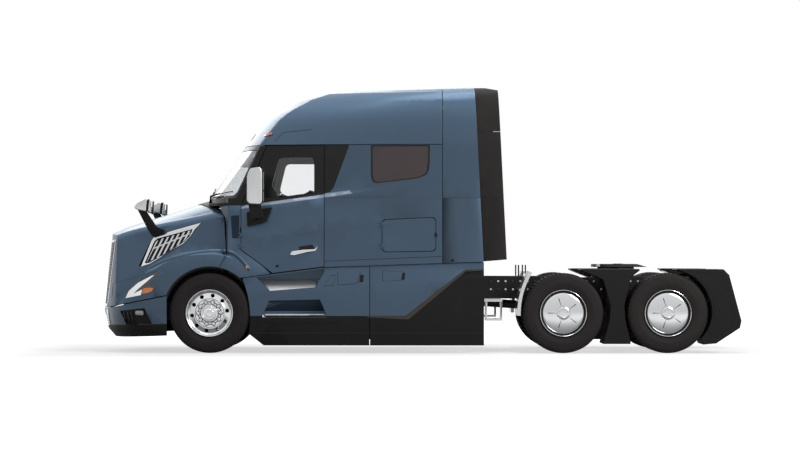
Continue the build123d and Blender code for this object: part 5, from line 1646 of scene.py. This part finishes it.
def buildChassisDetails():
    for side, sign in sides:
        bm = ringPatch(tailInner, 0.010, ["tandem_fenders"], sign, -0.001, 0.004)
        finishPiece(f"fenderPressing{side}", bm, "chassis", "blackPaint", "black_plastic")
        bm = bmesh.new()
        addRailHoles(bm)
        finishPiece(f"railHoles{side}", bm, "chassis", ["brushedSteel", "castIron"], "chassis_paint",
                    mirrorY=sign < 0)
        # lamp cluster on the end of the rail
        bm = bmesh.new()
        addBox(bm, *tailLamp["box"], 0)
        for k, material in enumerate(tailLamp["lenses"]):
            x, y, z = tailLamp["x"], tailLamp["y"] + k * tailLamp["pitch"], tailLamp["z"]
            addRod(bm, (x - 0.002, y, z), (x + 0.012, y, z), tailLamp["radius"], 28, material)
        finishPiece(f"tailLamps{side}", bm, "chassis", ["blackPlastic", "lampRed", "lampWhite"],
                    "black_plastic", mirrorY=sign < 0, bevel=0.003)
        # brake chambers and shock absorbers by each driven axle
        bm = bmesh.new()
        for place in drivePlaces:
            for (x0, z0), (x1, z1), y, radius, segments in axleGear:
                addRod(bm, (axles[place] + x0, y, z0), (axles[place] + x1, y, z1), radius, segments)
        finishPiece(f"brakeChambers{side}", bm, "chassis", "framePaint", "chassis_paint", mirrorY=sign < 0,
                    bevel=0.004)
        bm = bmesh.new()
        addBox(bm, *deckTread["plate"])
        columns, rows = deckTread["studs"]
        addStuds(bm, [deckTread["x"] + i * deckTread["pitch"][0] for i in range(columns)],
                 [deckTread["y"] + j * deckTread["pitch"][1] for j in range(rows)], 0.683, 0.005,
                 0.007, 0.004)
        addBox(bm, *deckTread["nose"])
        finishPiece(f"deckTread{side}", bm, "chassis", "aluminium", "tank_metal", mirrorY=sign < 0)

    # ribs, pipes and a rail over the engine
    g = engineTop
    bm = bmesh.new()
    for i in range(g["count"]):
        x = g["x"] + i * g["pitch"]
        addBox(bm, (x, -g["half"], g["z"][0]), (x + g["width"], g["half"], g["z"][1]))
        addTube(bm, [(x + g["width"] / 2, y, z) for y, z in g["pipe"]], g["pipeRadius"])
    addRod(bm, *g["rail"], g["railRadius"], 24)
    finishPiece("engineTop", bm, "chassis", "castIron", "engine_iron", bevel=0.006)
    # straps round the tanks
    g = tankStrap
    turns = [math.tau * k / g["steps"] for k in range(g["last"])]
    bm = bmesh.new()
    for sign in (-1, 1):
        for x in g["x"]:
            addTube(bm, [(x, sign * (g["y"] + g["radius"] * math.sin(a)), g["z"] + g["radius"] * math.cos(a))
                         for a in turns],
                    g["section"], 8)
    finishPiece("tankStraps", bm, "chassis", "brushedSteel", "tank_metal")
    print("chassis details built")


# on the plate of the fifth wheel: deep flanges under its sides, a bright worn front edge, grease grooves
# and the release bar
plateGear = {
    "flange": {"y": 0.400, "half": 0.020, "x": (2.390, 2.800), "z": (1.052, 1.092)},
    "wornEdge": ((2.318, -0.400, 1.094), (2.372, 0.400, 1.127)),
    "grooves": {"y": (-0.36, -0.27, 0.27, 0.36), "half": 0.006, "x": (2.42, 2.86), "z": (1.1245, 1.1262)},
    "rings": {"x": 2.700, "z": 1.127, "radii": (0.10, 0.135), "first": 100, "pitch": 16, "steps": 11,
              "section": 0.005},
    "bar": [(2.62, 0.30, 1.06), (2.62, 0.46, 1.05), (2.60, 0.66, 1.05), (2.56, 0.68, 1.05)],
    "barRadius": 0.011,
}


def buildFifthWheel():
    finishPiece("fifthWheelPlate", panelMesh("fifth_wheel_plate"), "fifth_wheel", "castIron",
                "fifth_wheel_iron", ["fifth_wheel_plate"], bevel=0.006, turn=False)
    bm = bmesh.new()
    g = plateGear["flange"]
    for sign in (-1, 1):
        addBox(bm, (g["x"][0], sign * g["y"] - g["half"], g["z"][0]),
               (g["x"][1], sign * g["y"] + g["half"], g["z"][1]), 0)
    addBox(bm, *plateGear["wornEdge"], 2)
    g = plateGear["grooves"]
    for y in g["y"]:
        addBox(bm, (g["x"][0], y - g["half"], g["z"][0]), (g["x"][1], y + g["half"], g["z"][1]), 1)
    g = plateGear["rings"]
    turns = [math.radians(g["first"] + g["pitch"] * k) for k in range(g["steps"])]
    for r in g["radii"]:
        addTube(bm, [(g["x"] + r * math.cos(a), r * math.sin(a), g["z"]) for a in turns], g["section"], 6, 1)
    addTube(bm, plateGear["bar"], plateGear["barRadius"], 10, 0)
    finishPiece("fifthWheelDetails", bm, "fifth_wheel", ["framePaint", "rubber", "satinSilver"],
                "fifth_wheel_iron")
    print("fifth wheel built")


rearRibs = {"count": 9, "y": -0.96, "pitch": 0.24, "half": 0.035, "x": (0.310, 0.322), "z": (1.42, 3.10)}
rearFittings = {
    "materials": ["castIron", "lampDark", "framePaint", "aluminium", "lampGlass"],
    "plate": ((0.312, -0.28, 1.270), (0.320, 0.16, 1.390)),
    # start, end, radius, segments, material
    "rods": [rod for y in (-0.20, -0.08, 0.08)      # couplings for the trailer's lines, with their caps
             for rod in (((0.312, y, 1.330), (0.360, y, 1.330), 0.034, 24, 0),
                         ((0.360, y, 1.330), (0.376, y, 1.330), 0.026, 24, 1))],
    "grabRail": [((0.350, 0.62, 1.32), (0.350, 0.62, 1.92), 0.014, 16, 3),
                 ((0.312, 0.62, 1.34), (0.350, 0.62, 1.34), 0.012, 12, 3),
                 ((0.312, 0.62, 1.90), (0.350, 0.62, 1.90), 0.012, 12, 3)],
    "workLamps": [((0.312, y, 3.10), (0.352, y, 3.10), 0.062, 28, 4) for y in (-0.62, 0.62)],
}


def buildRearWall():
    g = rearRibs
    bm = bmesh.new()
    for i in range(g["count"]):      # pressed ribs across the back of the sleeper
        y = g["y"] + i * g["pitch"]
        addBox(bm, (g["x"][0], y - g["half"], g["z"][0]), (g["x"][1], y + g["half"], g["z"][1]))
    finishPiece("rearWallRibs", bm, "chassis", "blackPlastic", "black_plastic", bevel=0.005)
    g = rearFittings
    bm = bmesh.new()
    for rod in g["rods"]:
        addRod(bm, *rod)
    addBox(bm, *g["plate"], 2)
    for rod in g["grabRail"] + g["workLamps"]:
        addRod(bm, *rod)
    finishPiece("rearWallFittings", bm, "chassis", g["materials"], "black_plastic", bevel=0.003)
    print("rear wall built")


# ---- inside the cab

cushionForm = {"power": 7, "weltDepth": 0.010, "weltWidth": 0.035, "sideWelt": 0.62, "sideDepth": 0.008,
               "sideWidth": 0.03}


# a box of cushion: soft edges, a crowned face and sewn welts that pull in
def addCushion(bm, low, high, crownAxis, crown, welts=(), steps=18, tilt=0.0, pivot=None):
    f = cushionForm
    made = bmesh.new()
    bmesh.ops.create_cube(made, size=2)
    bmesh.ops.subdivide_edges(made, edges=list(made.edges), cuts=steps, use_grid_fill=True)
    low, high = Vector(low), Vector(high)
    middle, half = (low + high) / 2, (high - low) / 2
    across, along = [a for a in (0, 1, 2) if a != crownAxis]
    for v in made.verts:
        p = v.co.copy()
        norm = sum(abs(c) ** f["power"] for c in p) ** (1 / f["power"])
        p = p / norm * max(abs(c) for c in p)
        swell = crown * (1 - p[across] ** 4) * (1 - p[along] ** 4)
        pull = sum(f["weltDepth"] * math.exp(-((p[along] - w) / f["weltWidth"]) ** 2) for w in welts)
        pull += f["sideDepth"] * math.exp(-((abs(p[across]) - f["sideWelt"]) / f["sideWidth"]) ** 2)
        q = Vector(p[i] * half[i] for i in range(3))
        if p[crownAxis] > 0.5:
            q[crownAxis] += swell - pull
        v.co = middle + q
    if tilt:
        turn = Matrix.Rotation(tilt, 3, "Y")
        for v in made.verts:
            v.co = Vector(pivot) + turn @ (v.co - Vector(pivot))
    joinInto(bm, made)


def finishSoft(name, bm, replaced=()):
    piece = finishPiece(name, bm, "chassis", "seatCloth", "seat_fabric", replaced, sharp=60)
    return piece


seats = {
    "y": (-0.5, 0.5),
    "cushion": {"low": (-1.635, -0.248, 1.545), "high": (-1.240, 0.248, 1.660), "crownAxis": 2,
                "crown": 0.018, "welts": (-0.3, 0.3)},
    "back": {"low": (-1.235, -0.245, 1.590), "high": (-1.120, 0.245, 2.190), "crownAxis": 0, "crown": 0.0,
             "welts": (-0.4, 0.1, 0.5), "tilt": 0.17, "pivot": (-1.20, 0, 1.60)},
    "head": {"low": (-1.105, -0.135, 2.190), "high": (-1.025, 0.135, 2.325), "crownAxis": 0, "crown": 0.0},
}
bunk = {"low": (-0.535, -1.035, 1.665), "high": (0.249, 1.035, 1.812), "crownAxis": 2, "crown": 0.016,
        "welts": (-0.75, -0.5, -0.25, 0, 0.25, 0.5, 0.75), "steps": 28}
dash = {
    "materials": ["interiorPlastic", "lampDark", "blackPlastic"],
    # low corner, high corner, material: gauge hood and two screens
    "boxes": (((-2.060, -0.700, 1.885), (-1.930, -0.300, 1.925), 0),
              ((-1.932, -0.660, 1.800), (-1.922, -0.340, 1.905), 1),
              ((-1.938, -0.130, 1.740), (-1.926, 0.160, 1.880), 1)),
    "vents": {"y": (-0.80, -0.20, 0.28, 0.62), "half": 0.060, "x": (-1.946, -1.932), "z": (1.845, 1.888)},
}


# the same cushion moved sideways
def shifted(shape, y):
    moved = dict(shape)
    for key in ("low", "high", "pivot"):
        if key in shape:
            moved[key] = (shape[key][0], shape[key][1] + y, shape[key][2])
    return moved


def buildInterior():
    for k, y in enumerate(seats["y"]):
        for name, part in (("seatCushion", "cushion"), ("seatBack", "back"), ("headRest", "head")):
            bm = bmesh.new()
            addCushion(bm, **shifted(seats[part], y))
            finishSoft(f"{name}{k}", bm, ["seats_and_bunk"] if (part, k) == ("cushion", 0) else ())
    bm = bmesh.new()
    addCushion(bm, **bunk)
    finishSoft("bunkMattress", bm)
    bm = bmesh.new()
    for box in dash["boxes"]:
        addBox(bm, *box)
    g = dash["vents"]
    for y in g["y"]:
        addBox(bm, (g["x"][0], y - g["half"], g["z"][0]), (g["x"][1], y + g["half"], g["z"][1]), 2)
    finishPiece("dashFittings", bm, "chassis", dash["materials"], "trim_plastic", bevel=0.006)
    print("interior built")


buildTyres()
buildSteerRims()
buildDualRims()
buildPanels()
buildGrille()
buildVents()
buildHeadlamps()
buildHoodMirrors()
buildBumperDetails()
buildDoorDetails()
buildDoorMirrors()
buildGlass()
buildCabFittings()
buildStepDetails()
buildArches()
buildFenderBeads()
buildPlainPanels()
buildChassisDetails()
buildFifthWheel()
buildRearWall()
buildInterior()


# ---- floor, light and camera

# white for the rays that look at it; a plain soft level for the light that falls on the object
studio = {"level": 0.38, "floor": 0.42, "nearX": 4.6, "nearY": 1.9, "fade": 2.2, "floorGlow": 0.62,
          "mirrorGlow": 0.12}
view = {"place": (-0.224, -33.25, 1.2), "lens": 114.29, "shift": 0.0416}
softboxes = (
    {"place": (8.5, -9.0, 7.0), "aim": (0.8, 0, 1.6), "size": (7, 4), "power": 860},
    {"place": (1.5, -0.5, 10.5), "aim": (0.5, 0, 1.5), "size": (11, 4), "power": 380},
    {"place": (-3.0, 9.0, 6.0), "aim": (0, 0, 1.6), "size": (10, 4), "power": 300},
)


def lookingRays(tree):
    path = tree.nodes.new("ShaderNodeLightPath")
    seen = mathNode(tree, "MAXIMUM", path.outputs["Is Camera Ray"], path.outputs["Is Transmission Ray"])
    return seen, mathNode(tree, "MAXIMUM", seen, path.outputs["Is Glossy Ray"])


def floorMaterial():
    material = bpy.data.materials.new("studioFloor")
    material.use_nodes = True
    tree = material.node_tree
    shader = tree.nodes["Principled BSDF"]
    shader.inputs["Base Color"].default_value = (studio["floor"],) * 3 + (1,)
    shader.inputs["Roughness"].default_value = 1.0
    shader.inputs["Specular IOR Level"].default_value = 0.0
    shader.inputs["Emission Color"].default_value = (1, 1, 1, 1)
    place = tree.nodes.new("ShaderNodeSeparateXYZ")
    tree.links.new(objectCoords(tree), place.inputs[0])
    far = None
    for axis, near in ((0, studio["nearX"]), (1, studio["nearY"])):
        away = mapRange(tree, mathNode(tree, "ABSOLUTE", place.outputs[axis]), near,
                        near + studio["fade"], 0, 1)
        far = away if far is None else mathNode(tree, "MAXIMUM", far, away)
    seen, looking = lookingRays(tree)
    glow = mapRange(tree, far, 0, 1, mapRange(tree, seen, 0, 1, studio["mirrorGlow"], studio["floorGlow"]),
                    1.0)
    tree.links.new(mathNode(tree, "MULTIPLY", glow, looking), shader.inputs["Emission Strength"])
    return material


def buildStudio():
    bm = bmesh.new()
    bmesh.ops.create_grid(bm, x_segments=1, y_segments=1, size=150)
    floor = meshObject("studioFloor", bm)
    floor.data.materials.append(floorMaterial())

    world = bpy.data.worlds.new("studio")
    scene.world = world
    world.use_nodes = True
    tree = world.node_tree
    background = tree.nodes["Background"]
    tree.links.new(mapRange(tree, lookingRays(tree)[1], 0, 1, studio["level"], 1.0),
                   background.inputs["Strength"])
    background.inputs["Color"].default_value = (1, 1, 1, 1)

    for i, box in enumerate(softboxes):
        light = bpy.data.lights.new(f"softbox{i}", "AREA")
        light.shape = "RECTANGLE"
        light.size, light.size_y = box["size"]
        light.energy = box["power"]
        lamp = bpy.data.objects.new(f"softbox{i}", light)
        lamp.location = box["place"]
        lamp.rotation_euler = (Vector(box["aim"]) - Vector(box["place"])).to_track_quat("-Z", "Y").to_euler()
        scene.collection.objects.link(lamp)

    data = bpy.data.cameras.new("camera")
    camera = bpy.data.objects.new("camera", data)
    scene.collection.objects.link(camera)
    data.lens, data.sensor_width = view["lens"], 36
    data.shift_y = view["shift"]
    data.clip_end = 300
    camera.location = view["place"]
    camera.rotation_euler = (math.radians(90), 0, 0)
    scene.camera = camera


buildStudio()
